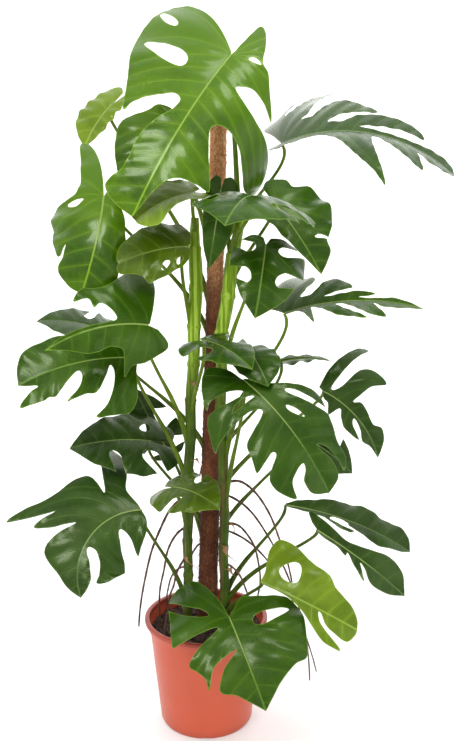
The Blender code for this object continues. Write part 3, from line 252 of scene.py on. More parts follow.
print("camera, light and floor")
view = {"place": (0.0485, -1.66, 1.06), "tilt": 78.25, "lens": 43.72, "film": 36}
bpy.ops.object.camera_add(location=view["place"], rotation=(math.radians(view["tilt"]), 0, 0))
camera = bpy.context.object
camera.name = "camera"
camera.data.sensor_fit = "VERTICAL"
camera.data.sensor_height = view["film"]
camera.data.lens = view["lens"]
bpy.context.scene.camera = camera
bpy.context.scene.view_settings.view_transform = "Standard"

# each light: place, what it points at, width, power
lights = {
    "key": ((-1.1, -2.0, 2.5), (0.0, 0.0, 0.60), 0.8, 42),
    "top": ((0.5, -0.9, 3.2), (0.0, 0.0, 0.8), 0.8, 24),
    "fill": ((2.0, -1.7, 1.2), (0.0, 0.0, 0.6), 1.6, 12),
    "back": ((0.6, 2.2, 2.4), (0.0, 0.0, 0.7), 1.6, 6),
}
for name, (place, target, width, power) in lights.items():
    aim = (Vector(target) - Vector(place)).to_track_quat("-Z", "Y").to_euler()
    bpy.ops.object.light_add(type="AREA", location=place, rotation=aim)
    lamp = bpy.context.object
    lamp.name = name
    lamp.data.size = width
    lamp.data.energy = power

studio = {"sky": (1.0, 1.0, 1.0), "strength": 0.22, "floor": (0.76, 0.76, 0.76), "cloud": (0.76, 0.76, 0.755),
          "size": 13.0, "middle": (0, -0.9, 0), "wall": 5.0, "bend": 0.9, "bendSteps": 16,
          "glow": 0.56, "nearGlow": 0.45, "glowFrom": 0.3, "glowFull": 1.6}    # the far side shines by itself
world = bpy.data.worlds.new("studio")
world.use_nodes = True
sky = world.node_tree.nodes["Background"].inputs
sky[0].default_value = (*studio["sky"], 1.0)
sky[1].default_value = studio["strength"]
bpy.context.scene.world = world

floor = begin(bpy.ops.mesh.primitive_plane_add, size=studio["size"], location=studio["middle"])
editing(True)
choose(floor, "edges", lambda edge: all(v.co.y > 0 for v in edge.verts))
bpy.ops.mesh.extrude_region_move(TRANSFORM_OT_translate={"value": (0, 0, studio["wall"])})
choose(floor, "edges", lambda edge: all(v.co.y > 0 and v.co.z < 0.01 for v in edge.verts))
bpy.ops.mesh.bevel(offset=studio["bend"], segments=studio["bendSteps"])
editing(False)
bpy.ops.object.shade_smooth()
floor.name = "floor"
paper = Look("paper", Base_Color=(*studio["floor"], 1.0), Roughness=0.9, Emission_Strength=studio["glow"])
back = paper.axis(1).ramp(studio["glowFrom"], studio["glowFull"])
paper.feed(Emission_Color=paper.mix(back, (studio["nearGlow"],) * 3, (1.0, 1.0, 1.0)),
           Base_Color=paper.mix(paper.noise(2.0), studio["floor"], studio["cloud"]))
floor.data.materials.append(paper.material)
floor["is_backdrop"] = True


def hole(place, start, half, end):
    # closes before the margin
    return (place, start, half, 1.0, end)


def slit(place, start, half, flare):
    # runs out through the margin
    return (place, start, half, flare, 1.0)


class Leaf:
    # what a leaf has unless its row says otherwise
    usual = {"left": [], "right": [], "droop": 40, "curl": (35, 35), "fold": (12, 12), "bow": 0.01, "wave": 0.003,
             "back": 1.0, "sweep": 0.0, "drop": 0.0017, "arrive": None, "reach": ([], []), "tone": "deep"}
    # margin of a plain half leaf, up to its tip
    plain = [(0, -30, 10), (12, -36, 45), (28, -14, 86), (45, 16, 100), (62, 46, 90), (78, 73, 60), (90, 90, 24)]
    end = (100, 100, 0)

    def __init__(self, joint, tip, face, width, stem, height, outline=(plain, plain), **own):
        joint, tip, width = [[v / 1000 for v in row] for row in (joint, tip, width)]
        self.__dict__.update(self.usual, joint=Vector(joint), width=width, stem=stem, height=height / 1000, **own)
        self.outline = [np.array([*rows, self.end]) / 100 for rows in outline]
        self.cuts = (self.left, self.right)
        self.along = Vector(tip) - self.joint
        chord = self.along.length
        self.along.normalize()
        self.across = Vector([v / 100 for v in face]).cross(self.along).normalized()
        self.up = self.along.cross(self.across)
        droop, bow = math.radians(self.droop) / 2, math.radians(self.bow) / 2
        self.length = chord * droop / math.sin(droop) * bow / math.sin(bow)


# Each leaf: joint with its stalk and tip in millimetres, where its upper face looks, widths of its left and
# right half, the stem and height its stalk grows from. Then the slits and holes of each half; droop along it,
# curl and fold of the halves and sideways bow, in degrees; wave of the margin, drop and direction of the stalk
# in metres; back and sweep of the lobes; and the outline of each half in hundredths: place from joint to tip,
# share of the length and share of the width.
leaves = {
    "leaf_crown": Leaf((50, -50, 1275), (-115, -140, 1005), (-10, -85, 45), (150, 165), "right", 970,
        left=[hole(0.165, 0.5, 0.011, 0.92)], right=[hole(0.24, 0.62, 0.011, 0.97), hole(0.34, 0.26, 0.016, 0.84)],
        droop=35, curl=(75, 30), fold=(8, 8), tone="bright", outline=(
        [(0, -3, 1), (3, -15, 1.5), (6, -26, 3), (9, -25, 12), (12, -17, 24), (16, -5, 36), (20, -2, 48), (25, 6, 63),
         (30, 17, 86), (33, 13, 64), (36, 12, 45), (39, 16.5, 29), (42, 20, 40), (46, 24, 66), (50, 28, 100),
         (54, 35, 130), (57, 43, 147), (60, 52, 142), (63, 58, 112), (66, 50, 88), (69, 43, 72), (72, 39, 54),
         (75, 39, 37), (78, 44, 32), (81, 53, 42), (84, 63, 56), (87, 71, 65), (89, 71, 48), (92, 73, 26),
         (95, 80, 13)],
        [(0, -2, 3), (4, -10, 23), (8, -17, 45), (12, -22, 68), (16, -23, 86), (20, -20, 100), (24, -12, 107),
         (28, -3, 110), (32, 7, 110), (36, 15, 105), (40, 24, 97), (44, 34, 86), (49, 44, 75), (54, 54, 64),
         (57, 48, 59), (60, 43, 50), (63, 39, 38), (66, 35, 24), (69, 37, 15), (72, 43, 17), (76, 52, 27),
         (80, 63, 33), (84, 73, 32), (88, 81, 33), (92, 88, 40), (95, 93, 40), (98, 98, 22)])),
    "leaf_crown_back": Leaf((-60, 65, 1172), (-123, 35, 1030), (-15, -92, 35), (70, 85), "back", 840, droop=30,
        curl=(30, 25), wave=0.002, tone="bright", outline=(
        [(0, -10, 5), (10, -16, 30), (25, 0, 70), (45, 30, 80), (65, 55, 70), (85, 84, 35)],
        [(0, -8, 2), (5, -15, 15), (10, -15, 34), (15, -11, 50), (20, -2, 60), (27, 7, 82), (35, 16, 99),
         (44, 30, 107), (56, 49, 97), (68, 68, 78), (80, 82, 58), (91, 94, 28)])),
    "leaf_small_heart": Leaf((-185, 100, 1195), (-225, 80, 1125), (-35, -80, 50), (25, 55), "back", 760, droop=30,
        curl=(30, 30), back=2.2, tone="fresh"),
    "leaf_upper_left": Leaf((-174, -50, 1038), (-212, -92, 871), (-25, -90, 35), (48, 70), "back", 720,
        right=[hole(0.24, 0.35, 0.012, 0.65)], droop=35, curl=(60, 30), fold=(2, 10), bow=30, wave=0.004, drop=0.0022,
        arrive=(-0.05, -0.6, 0.8), tone="bright", outline=(
        [(0, -5, 10), (10, 0, 50), (20, 11, 70), (35, 28, 100), (50, 50, 110), (65, 68, 110), (80, 84, 100),
         (92, 95, 60)],
        [(0, -10, 2), (3, -55, 14), (6, -80, 28), (9, -82, 50), (12, -45, 62), (15, -20, 66), (18, -6, 78),
         (22, 0, 120), (25, 5, 148), (29, 23, 158), (33, 48, 138), (37, 73, 102), (41, 56, 80), (45, 70, 84),
         (52, 85, 84), (62, 93, 68), (80, 99, 35)])),
    "leaf_upper_right": Leaf((143, 60, 1132), (458, 20, 1071), (5, -55, 84), (180, 130), "back", 880, droop=75,
        curl=(25, 40), fold=(8, 25), wave=0.004, outline=(
        [(0, -6, 20), (4, -20, 65), (8, -20, 92), (12, -3, 112), (15, -6, 88), (18, -3, 62), (21, 3, 85),
         (24, 8, 115), (27, 18, 145), (30, 14, 90), (33, 12, 50), (36, 9, 36), (39, 15, 36), (42, 20, 53),
         (45, 28, 64), (48, 38, 58), (51, 50, 42), (54, 38, 36), (57, 29, 28), (60, 25, 18), (63, 33, 18),
         (66, 40, 29), (69, 49, 35), (73, 62, 36), (77, 72, 32), (79, 77, 20), (82, 66, 19), (85, 54, 15),
         (87, 42, 10), (89, 50, 7), (92, 60, 6), (95, 72, 7), (97.5, 86, 11), (99, 96, 10)],
        [(0, -5, 20), (8, 0, 35), (16, 12, 30), (24, 24, 25), (30, 32, 40), (36, 42, 75), (42, 52, 105),
         (46, 60, 125), (50, 54, 85), (54, 50, 45), (58, 50, 20), (64, 58, 35), (70, 66, 55), (75, 76, 70),
         (79, 74, 45), (83, 73, 28), (88, 82, 42), (93, 93, 30)])),
    "leaf_right_shoulder": Leaf((127, -55, 1023), (205, -105, 906), (20, -85, 50), (125, 70), "right", 820,
        left=[slit(0.62, 0.5, 0.015, 1.3)], droop=30, curl=(50, 50), wave=0.012, back=1, tone="middle", outline=(
        [(0, -30, 4), (6, -36, 18), (13, -25, 41), (20, -10, 42), (27, -4, 60), (36, 14, 72), (45, 34, 72),
         (53, 50, 60), (60, 66, 37), (66, 68, 33), (74, 80, 30), (86, 92, 14)],
        [(0, -25, 10), (20, -5, 45), (35, 9, 48), (50, 25, 42), (65, 42, 36), (80, 64, 26)])),
    "leaf_centre_edge": Leaf((95, -115, 1035), (40, -250, 995), (-5, -45, 90), (120, 110), "right", 920,
        left=[slit(0.3, 0.4, 0.03, 1.5), slit(0.6, 0.4, 0.03, 1.5)],
        right=[slit(0.3, 0.35, 0.03, 1.6), slit(0.6, 0.35, 0.04, 1.6)], droop=60, curl=(60, 60), back=0.5,
        tone="middle"),
    "leaf_centre_right": Leaf((110, -80, 955), (90, -145, 835), (10, -85, 45), (75, 55), "right", 660,
        left=[slit(0.3, 0.3, 0.025, 1.8), slit(0.6, 0.3, 0.03, 1.8)],
        right=[slit(0.3, 0.3, 0.03, 1.8), slit(0.6, 0.3, 0.03, 1.8)], curl=(60, 60), back=0.4,
        reach=([1, 1.2, 1], [1, 1.2, 1]), tone="middle"),
    "leaf_mid_right": Leaf((148, 0, 823), (399, -40, 837), (0, -40, 91), (120, 75), "right", 560, curl=(40, 20),
        fold=(20, 8), wave=0.004, drop=0.0014, tone="middle", outline=(
        [(0, -4, 8), (5, -12, 25), (10, -16, 53), (15, -8, 115), (20, 6, 120), (25, 23, 70), (28, 17, 45),
         (31, 13, 25), (34, 21, 26), (38, 31, 54), (42, 42, 52), (46, 50, 30), (50, 40, 24), (54, 30, 14),
         (58, 43, 17), (63, 54, 21), (68, 66, 14), (72, 54, 7), (77, 65, 6), (84, 79, 10), (92, 88, 7)],
        [(0, 2, 5), (6, 8, 7), (12, 15, 25), (17, 24, 84), (21, 22, 35), (25, 21, 8), (30, 28, 24), (36, 42, 64),
         (42, 60, 82), (46, 50, 50), (50, 42, 28), (54, 38, 8), (58, 47, 20), (63, 59, 58), (68, 73, 66),
         (72, 68, 35), (76, 64, 12), (80, 72, 26), (86, 80, 25), (93, 90, 16)])),
    "leaf_mid_left": Leaf((-94, -120, 820), (-259, -200, 789), (-25, -90, 40), (100, 90), "left", 540, droop=30,
        curl=(60, 30), fold=(-5, 15), bow=-30, wave=0.004, drop=0.0022, tone="middle", outline=(
        [(0, -10, 6), (6, -23, 32), (10, -10, 55), (16, 2, 68), (22, 17, 74), (26, 25, 98), (30, 27, 80),
         (36, 28, 46), (42, 36, 38), (50, 44, 36), (58, 54, 40), (70, 67, 36), (85, 84, 17)],
        [(0, -2, 4), (3, -5, 33), (6, -8, 70), (9, -9, 110), (11.5, -4, 135), (14, 4, 135), (17, 16, 110),
         (20, 28, 86), (24, 42, 82), (27, 50, 85), (29.5, 60, 62), (32, 48, 60), (33.5, 46, 40), (35, 40, 48),
         (37, 33, 34), (39, 29, 13), (45, 38, 8), (60, 58, 8), (80, 80, 7)])),
    "leaf_left_bright": Leaf((-121, -60, 750), (-324, -120, 712), (-25, -85, 50), (100, 80), "left", 460,
        curl=(40, 20), bow=-18, wave=0.006, tone="middle", outline=(
        [(0, 0, 5), (4, 3, 35), (8, 4, 80), (12, 9, 101), (18, 19, 107), (24, 32, 110), (28, 45, 102), (31, 33, 88),
         (33, 25, 58), (34.5, 22, 30), (35.5, 24, 15), (37, 29, 34), (39, 38, 60), (44, 50, 62), (49, 67, 67),
         (52, 55, 50), (54.5, 49, 30), (56, 50, 17), (58, 56, 22), (62, 73, 49), (66, 80, 47), (69, 86, 50),
         (73, 106, 40), (76, 92, 24), (79, 85, 20), (90, 94, 9)],
        [(0, 0, 5), (10, 0, 50), (20, 12, 80), (35, 30, 75), (47, 47, 67), (60, 60, 73), (72, 73, 73), (82, 86, 64),
         (90, 94, 42)])),
    "leaf_left_back": Leaf((-185, 80, 770), (-325, 55, 800), (-20, -40, 90), (70, 60), "back", 500,
        left=[slit(0.5, 0.3, 0.02, 1.6)], right=[slit(0.5, 0.3, 0.02, 1.6)], curl=(30, 30), back=0.3),
    "leaf_under_crown": Leaf((-15, -80, 1045), (-111, -128, 998), (-15, -60, 78), (75, 75), "left", 950,
        curl=(40, 40), wave=0.002, tone="fresh", outline=(
        [(0, -15, 10), (10, -20, 34), (22, -2, 40), (36, 20, 30), (48, 44, 33), (60, 66, 49), (72, 82, 57),
         (84, 95, 40), (93, 101, 14)],
        [(0, -15, 10), (15, -10, 55), (32, 12, 85), (50, 40, 95), (68, 68, 85), (84, 90, 52), (94, 99, 22)])),
    "leaf_olive_holed": Leaf((-30, -85, 952), (-143, -115, 925), (-15, -75, 60), (60, 65), "left", 740,
        left=[hole(0.42, 0.42, 0.024, 0.72), hole(0.26, 0.42, 0.022, 0.74)], curl=(40, 35), wave=0.002, tone="olive",
        outline=(
        [(0, -5, 10), (6, 0, 40), (12, 10, 62), (20, 20, 74), (30, 33, 84), (42, 52, 93), (52, 69, 98), (58, 75, 70),
         (66, 86, 56), (78, 102, 37), (90, 105, 16)],
        [(0, -10, 10), (10, -15, 45), (20, -10, 80), (32, 5, 88), (45, 23, 93), (58, 46, 90), (72, 72, 68),
         (86, 93, 40), (95, 100, 16)])),
    "leaf_centre_dark": Leaf((32, -64, 1050), (10, -74, 912), (10, -95, 20), (34, 26), "right", 900, droop=15,
        curl=(20, 20), wave=0.002, back=0.45),
    "leaf_low_left_back": Leaf((-105, 5, 575), (-255, -30, 570), (-15, -60, 75), (80, 70), "back", 340,
        left=[slit(0.3, 0.3, 0.03, 1.6), slit(0.6, 0.3, 0.02, 1.6)], right=[hole(0.3, 0.3, 0.02, 0.6)], tone="grey"),
    "leaf_back_left": Leaf((-80, 110, 525), (-145, 95, 660), (-20, -80, 55), (50, 50), "back", 280,
        left=[slit(0.3, 0.3, 0.03, 1.8), slit(0.6, 0.25, 0.03, 1.8)],
        right=[slit(0.3, 0.3, 0.03, 1.8), slit(0.6, 0.2, 0.04, 1.6)], back=0.4, sweep=0.3, tone="grey"),
    "leaf_low_left": Leaf((-115, -100, 475), (-213, -200, 350), (-10, -85, 45), (80, 120), "left", 215, droop=30,
        curl=(40, 20), fold=(6, 6), bow=-105, wave=0.004, tone="grey", outline=(
        [(0, -1, 5), (5, -5, 28), (10, -5, 55), (15, 2, 83), (20, 16, 105), (24, 17, 68), (28, 21, 42), (31, 26, 36),
         (34, 34, 64), (38, 50, 95), (41, 62, 105), (44, 76, 105), (48, 92, 72), (51, 92, 42), (54, 82, 48),
         (57, 68, 46), (60, 58, 30), (63, 57, 12), (68, 61, 10), (76, 70, 24), (86, 86, 30), (93, 95, 18)],
        [(0, 1, 5), (4, 8, 35), (8, 6, 65), (12, 5, 103), (16, 7, 150), (19, 13, 145), (23, 17, 85), (26, 21.5, 42),
         (27.5, 23, 76), (30, 29, 88), (32, 39, 89), (34, 47, 96), (36, 54, 114), (37.5, 61, 134), (39, 57, 102),
         (40.5, 52, 80), (42, 48, 68), (44, 59, 85), (46, 56, 58), (48, 50, 40), (51, 47, 30), (54, 59, 48),
         (60, 66, 55), (68, 71, 52), (78, 80, 30), (88, 90, 16)])),
    "leaf_centre_low": Leaf((-55, -105, 520), (30, -165, 500), (10, -50, 85), (60, 60), "left", 270,
        left=[slit(0.5, 0.3, 0.02, 1.6)], right=[slit(0.5, 0.3, 0.02, 1.6)], droop=50, curl=(40, 40), tone="olive"),
    "leaf_centre_front": Leaf((0, -105, 790), (85, -190, 755), (10, -35, 93), (60, 60), "left", 600,
        left=[slit(0.5, 0.3, 0.03, 1.6)], right=[slit(0.5, 0.3, 0.03, 1.6)], curl=(40, 40), back=0.4, tone="middle"),
    "leaf_centre_small": Leaf((86, -120, 768), (112, -170, 722), (5, -70, 70), (45, 40), "right", 500, curl=(40, 40),
        wave=0.002),
    "leaf_front_right": Leaf((71, -140, 727), (214, -220, 550), (10, -85, 50), (110, 100), "right", 380,
        left=[slit(0.3, 0.42, 0.01, 1.2), hole(0.42, 0.26, 0.01, 0.52)], right=[hole(0.28, 0.2, 0.008, 0.5)],
        curl=(60, 40), bow=15, outline=(
        [(0, 0, 3), (5, 8, 12), (10, 15, 24), (15, 23, 48), (20, 32, 70), (25, 41, 80), (30, 53, 71), (36, 64, 61),
         (42, 74, 53), (48, 83, 53), (53, 89, 46), (57, 92, 37), (60, 83, 37), (63, 73, 32), (66, 67, 20),
         (69, 72, 21), (74, 80, 27), (80, 88, 28), (87, 94, 23)],
        [(0, -2, 1), (1.5, -12, 2), (3, -20, 8), (5, -27, 24), (7, -24, 45), (9, -14, 69), (11, -2, 86),
         (12.5, -5, 69), (14, -1, 39), (15.5, 5, 20), (17, 9, 20), (18.5, 7, 41), (20, 2, 80), (21.5, 3, 97),
         (23.5, 13, 114), (25.5, 27, 130), (27, 24, 112), (28.5, 22, 76), (30, 22, 37), (32, 26, 18), (34, 30, 27),
         (36, 34, 51), (39, 39, 76), (43, 49, 84), (47, 61, 92), (49, 58, 71), (50.5, 55, 52), (53, 58, 48),
         (56, 64, 66), (59, 71, 80), (63, 82, 77), (67, 92, 56), (69, 81, 50), (71, 75, 32), (73, 73, 17),
         (76, 77, 18), (81, 84, 31), (88, 94, 28)])),
    "leaf_right_underside": Leaf((145, 40, 725), (240, 10, 730), (10, 30, 90), (40, 40), "back", 460, droop=30,
        curl=(30, 30), wave=0.002, tone="middle"),
    "leaf_right_lobed": Leaf((229, 50, 663), (335, 20, 537), (10, -90, 40), (80, 80), "back", 380, curl=(30, 30),
        bow=40, drop=0.0022, tone="grey", outline=(
        [(0, -6, 5), (3, -5, 55), (6, 0, 120), (10, 5, 185), (13, 11, 190), (16, 9, 125), (19, 7, 62), (22, 6, 20),
         (25, 10, 16), (28, 15, 40), (31, 17, 80), (34, 20, 106), (38, 30, 123), (42, 44, 120), (45, 36, 80),
         (47, 34, 45), (49, 33, 20), (52, 39, 32), (58, 48, 30), (70, 64, 22), (76, 72, 36), (84, 83, 30),
         (92, 92, 15)],
        [(0, 0, 5), (8, 6, 18), (16, 12, 22), (23, 21, 45), (29, 27, 15), (36, 36, 32), (42, 50, 43), (47, 70, 30),
         (51, 52, 22), (54.5, 46, 9), (60, 52, 8), (70, 62, 14), (80, 74, 24), (87, 83, 12)])),
    "leaf_back_right": Leaf((190, 100, 560), (295, 80, 485), (20, -70, 60), (55, 50), "back", 290,
        left=[slit(0.3, 0.3, 0.03, 1.8), slit(0.6, 0.25, 0.03, 1.8)],
        right=[slit(0.3, 0.3, 0.03, 1.8), slit(0.6, 0.2, 0.04, 1.6)], sweep=0.3, tone="grey"),
    "leaf_low_right_upper": Leaf((156, 20, 440), (399, -10, 354), (15, -50, 85), (70, 50), "right", 235,
        right=[slit(0.5, 0.1, 0.02, 1)], wave=0.012, tone="grey", outline=(
        [(0, 0, 5), (12, 9, 24), (25, 20, 36), (40, 38, 56), (55, 52, 65), (70, 70, 58), (82, 86, 58), (92, 96, 36)],
        [(0, 0, 5), (15, 12, 15), (28, 28, 22), (38, 42, 46), (44, 51, 58), (50, 55, 40), (56, 60, 44), (66, 74, 54),
         (80, 89, 36)])),
    "leaf_low_right_under": Leaf((211, -70, 424), (371, -110, 310), (10, -80, 55), (60, 55), "right", 215, wave=0.004,
        tone="grey", outline=(
        [(0, -8, 12), (6, -17, 42), (12, 0, 38), (20, 14, 30), (30, 26, 22), (42, 38, 30), (55, 53, 48), (68, 69, 64),
         (80, 84, 54), (90, 94, 22)],
        [(0, 0, 5), (12, 10, 12), (22, 23, 12), (30, 34, 22), (36, 34, 8), (42, 44, 30), (47, 60, 56), (51, 52, 26),
         (55, 48, 10), (62, 55, 20), (72, 66, 46), (84, 84, 37)])),
    "leaf_low_right_bright": Leaf((105, -100, 334), (278, -160, 268), (10, -85, 50), (85, 55), "right", 200,
        left=[hole(0.36, 0.22, 0.03, 0.72)], wave=0.004, drop=0.0014, tone="fresh", outline=(
        [(0, 0, 5), (5, 0, 25), (12, -6, 75), (18, -3, 105), (26, 12, 109), (38, 34, 88), (52, 56, 77), (62, 66, 58),
         (78, 86, 38), (90, 96, 18)],
        [(0, 0, 5), (15, 10, 6), (28, 20, 6), (36, 33, 12), (43, 48, 32), (49, 63, 64), (53, 77, 88), (59, 94, 86),
         (62, 77, 57), (65, 66, 36), (68, 61, 9), (72, 64, 10), (77, 71, 34), (83, 80, 46), (90, 95, 52),
         (95, 100, 20)])),
    "leaf_pot_front": Leaf((46, -142, 284), (110, -254, 165), (5, -80, 55), (125, 120), "right", 196,
        left=[hole(0.34, 0.24, 0.02, 0.82)], right=[slit(0.105, 0.3, 0.008, 1)], droop=35, wave=0.004, tone="middle",
        outline=(
        [(0, -2, 4), (7, -8, 14), (14, -15, 30), (20, -9, 56), (28, 0, 90), (34, 12, 102), (42, 25, 104),
         (50, 38, 100), (60, 54, 92), (68, 68, 82), (75, 70, 63), (85, 80, 35), (93, 90, 17)],
        [(0, -10, 1), (2, -30, 6), (4.5, -62, 24), (7, -65, 46), (9, -56, 72), (10.5, -42, 81), (12, -34, 84),
         (14, -22, 88), (16, -4, 94), (17.5, 5, 97), (19, 6, 86), (20.5, 6, 64), (22, 6, 40), (24, 8, 22),
         (26, 13, 34), (28, 20, 57), (30, 26, 72), (33, 33, 83), (36, 41, 75), (40, 52, 67), (43, 63, 67),
         (45, 45, 50), (47, 38, 25), (49, 36, 8), (52, 42, 20), (56, 50, 37), (61, 67, 53), (70, 76, 34),
         (84, 87, 18)])),
}

leafShape = {
    "net": 0.0048,          # spacing of a blade's points
    "step": 0.0034,         # spacing of the margin's points
    "thickness": 0.0010,
    "pleat": 0.0007,        # how deep the blade sinks along its side veins
    "veinGap": 0.031,       # usual distance between side veins
    "forward": 0.34,        # how far side veins lean towards the tip
    "sweep": 0.55,          # and how much they bend to it
    "waves": 20,            # how close the margin's large waves follow one another
    "ripple": 0.0006,       # small waves along the margin
    "ribFoot": 0.0021,      # radius of the midrib under the blade, joint and tip
    "ribTip": 0.0006,
    "ribEnd": 0.93,         # how far along the blade it runs
    "ribRings": 26,
    "ribSink": 0.45,        # how deep its middle lies under the blade, in radii
    "ribSides": 8,
    "cutGap": 0.008,        # least way along the margin between a slit and its neighbours
    "slitPoints": 22,
    "holePoints": 16,
    "lobeDip": 0.06,        # how deep a dent in the margin parts two lobes, in widths
    "dipGap": 0.03,         # dents closer than this share of the length count as one
    "fingerRoot": 0.2,      # share of the midrib before its first side vein
    "clear": 0.45,          # how far inner points keep from the margin, in spacings of the net
    "deepAt": 0.03,         # spacing of the side veins at which they sink fully
    "flatRib": 0.006,       # how far from the midrib the blade starts to sink
    "rippleWidth": 0.012,
    "smooth": 55,
}


def smoothRows(place, table):
    # smooth curve through the rows of an outline
    keys, values = table[:, 0], table[:, 1:]
    slope = np.empty_like(values)
    slope[1:-1] = (values[2:] - values[:-2]) / (keys[2:] - keys[:-2])[:, None]
    slope[0] = (values[1] - values[0]) / (keys[1] - keys[0])
    slope[-1] = (values[-1] - values[-2]) / (keys[-1] - keys[-2])
    k = np.clip(np.searchsorted(keys, place, side="right") - 1, 0, len(keys) - 2)
    step = (keys[k + 1] - keys[k])[..., None]
    q = (place - keys[k])[..., None] / step
    return ((2 * q**3 - 3 * q**2 + 1) * values[k] + (q**3 - 2 * q**2 + q) * step * slope[k]
            + (3 * q**2 - 2 * q**3) * values[k + 1] + (q**3 - q**2) * step * slope[k + 1])


def reachOut(place, share, leaf, half):
    # the point that lies a share of the way from the midrib to the margin
    place = np.atleast_1d(np.asarray(place, float))
    x, y = smoothRows(place, leaf.outline[half]).T
    x = np.where(x < 0, x * leaf.back, x)
    y = y * leaf.width[half] / leaf.length
    x = x + leaf.sweep * y * np.minimum(1, 1.6 * (1 - place))
    ends = [cut[0] for cut in leaf.cuts[half] if cut[4] == 1]
    reach = leaf.reach[half]
    finger = np.searchsorted(ends, place)
    grow = np.array([reach[f] if f < len(reach) else 1.0 for f in finger])
    root = np.clip((place - leafShape["fingerRoot"]) / (1 - leafShape["fingerRoot"]), 0, 1)
    fx = (1 - share)**2 * root + 2 * share * (1 - share) * (root + 0.30 * (x - root)) + share**2 * x
    fy = (1.24 * share - 0.24 * share**2) * y
    grow = 1 + (grow - 1) * share**1.5
    return np.stack([root + (fx - root) * grow, fy * grow], -1)


def cutEdge(cut, leaf, half, edge, shares):
    # one edge of a slit or hole, from its inner end outwards
    place, start, wide, flare, end = cut
    share = start + (end - start) * shares
    if end < 1:
        gap = np.sqrt(np.clip(1 - (2 * shares - 1)**2, 0, 1))
    else:
        gap = np.minimum(1, np.sqrt(shares / 0.25)) * (1 + (flare - 1) * shares)
    gap = wide * gap / np.clip(share, 0.3, 1)
    return reachOut(place + (gap if edge else -gap), share, leaf, half)


def evenPlaces(leaf, half, low, high):
    # places along the margin, evenly spaced in metres
    fine = np.linspace(low, high, 500)
    points = reachOut(fine, 1.0, leaf, half) * leaf.length
    run = np.concatenate([[0], np.cumsum(np.linalg.norm(np.diff(points, axis=0), axis=1))])
    count = max(4, int(run[-1] / leafShape["step"]))
    return np.interp(np.linspace(0, run[-1], count), run, fine)


def halfMargin(leaf, half):
    cuts = [cut for cut in leaf.cuts[half] if cut[4] == 1]
    shares = np.linspace(0, 1, leafShape["slitPoints"])**1.5
    points = []
    low = 0.0
    for cut in cuts + [None]:
        high = cut[0] - cut[2] * cut[3] - leafShape["cutGap"] if cut else 0.9995
        points.append(reachOut(evenPlaces(leaf, half, low, high), 1.0, leaf, half))
        if cut:
            points.append(cutEdge(cut, leaf, half, 0, shares[::-1]))
            points.append(cutEdge(cut, leaf, half, 1, shares[1:]))
            low = cut[0] + cut[2] * cut[3] + leafShape["cutGap"]
    return np.concatenate(points)


def within(points, loop):
    # which points a closed loop holds, and how far each is from it
    a, b = loop, np.roll(loop, -1, 0)
    px, py = points[:, None, 0], points[:, None, 1]
    span = (a[:, 1] > py) != (b[:, 1] > py)
    rise = np.where(b[:, 1] == a[:, 1], 1e-12, b[:, 1] - a[:, 1])
    hits = span & (px < (b[:, 0] - a[:, 0]) * (py - a[:, 1]) / rise + a[:, 0])
    run = b - a
    q = np.clip(((points[:, None] - a) * run).sum(-1) / np.maximum((run**2).sum(-1), 1e-12), 0, 1)
    far = np.linalg.norm(points[:, None] - a - q[..., None] * run, axis=-1).min(1)
    return hits.sum(1) % 2 == 1, far


def flatBlade(leaf):
    # points and triangles of the flat blade, and each point's distance from the margin
    length = leaf.length
    left, right = [halfMargin(leaf, half) * (length, length * side) for half, side in ((0, 1), (1, -1))]
    loop = np.concatenate([[(0.0, 0.0)], left, [(length, 0.0)], right[::-1]])
    shares = (1 - np.cos(np.linspace(0, math.pi, leafShape["holePoints"]))) / 2
    rings = []
    for half, side in ((0, 1), (1, -1)):
        for cut in leaf.cuts[half]:
            if cut[4] < 1:
                ring = [cutEdge(cut, leaf, half, 0, shares), cutEdge(cut, leaf, half, 1, shares[-2:0:-1])]
                rings.append(np.concatenate(ring) * (length, length * side))
    net = leafShape["net"] * max(0.55, min(1, length / 0.2))    # finer on small leaves
    rowRatio = 0.87    # rows of even triangles
    clear = net * leafShape["clear"]
    low, high = loop.min(0) - net, loop.max(0) + net
    grid = [(m * net + n % 2 * net / 2, n * net * rowRatio)
            for n in range(math.floor(low[1] / net / rowRatio), math.ceil(high[1] / net / rowRatio))
            for m in range(math.floor(low[0] / net), math.ceil(high[0] / net))]
    grid = np.array(grid)
    keep, far = within(grid, loop)
    keep &= (far > clear) & (np.abs(grid[:, 1]) > net * 0.5)
    for ring in rings:
        out, far = within(grid, ring)
        keep &= ~out & (far > clear)
    rib = [(length * n, 0.0) for n in np.linspace(0, 1, int(length / net) + 2)[1:-1]]
    points = [tuple(p) for p in loop]
    edges = [(k, (k + 1) % len(loop)) for k in range(len(loop))]
    for ring in rings:
        first = len(points)
        points += [tuple(p) for p in ring]
        edges += [(first + k, first + (k + 1) % len(ring)) for k in range(len(ring))]
    points += rib + [tuple(p) for p in grid[keep]]
    result = delaunay_2d_cdt([Vector(p) for p in points], edges, [], 0, 1e-6)
    flat = np.array([tuple(v) for v in result[0]])
    faces = np.array(result[2])
    middle = flat[faces].mean(1)
    good = within(middle, loop)[0]
    margin = within(flat, loop)[1]
    for ring in rings:
        good &= ~within(middle, ring)[0]
        margin = np.minimum(margin, within(flat, ring)[1])
    return flat, faces[good], margin


def veinPlace(x, y, length):
    # number that stays the same along a side vein, below 0 in the lobes behind the joint
    lean = leafShape["sweep"] * y**2 / length
    ahead = (x - leafShape["forward"] * y - lean) / length
    behind = math.atan2(1, leafShape["forward"]) - np.arctan2(y, x - lean)
    return np.where(ahead >= 0, ahead, 0.2 * np.minimum(behind, 0))


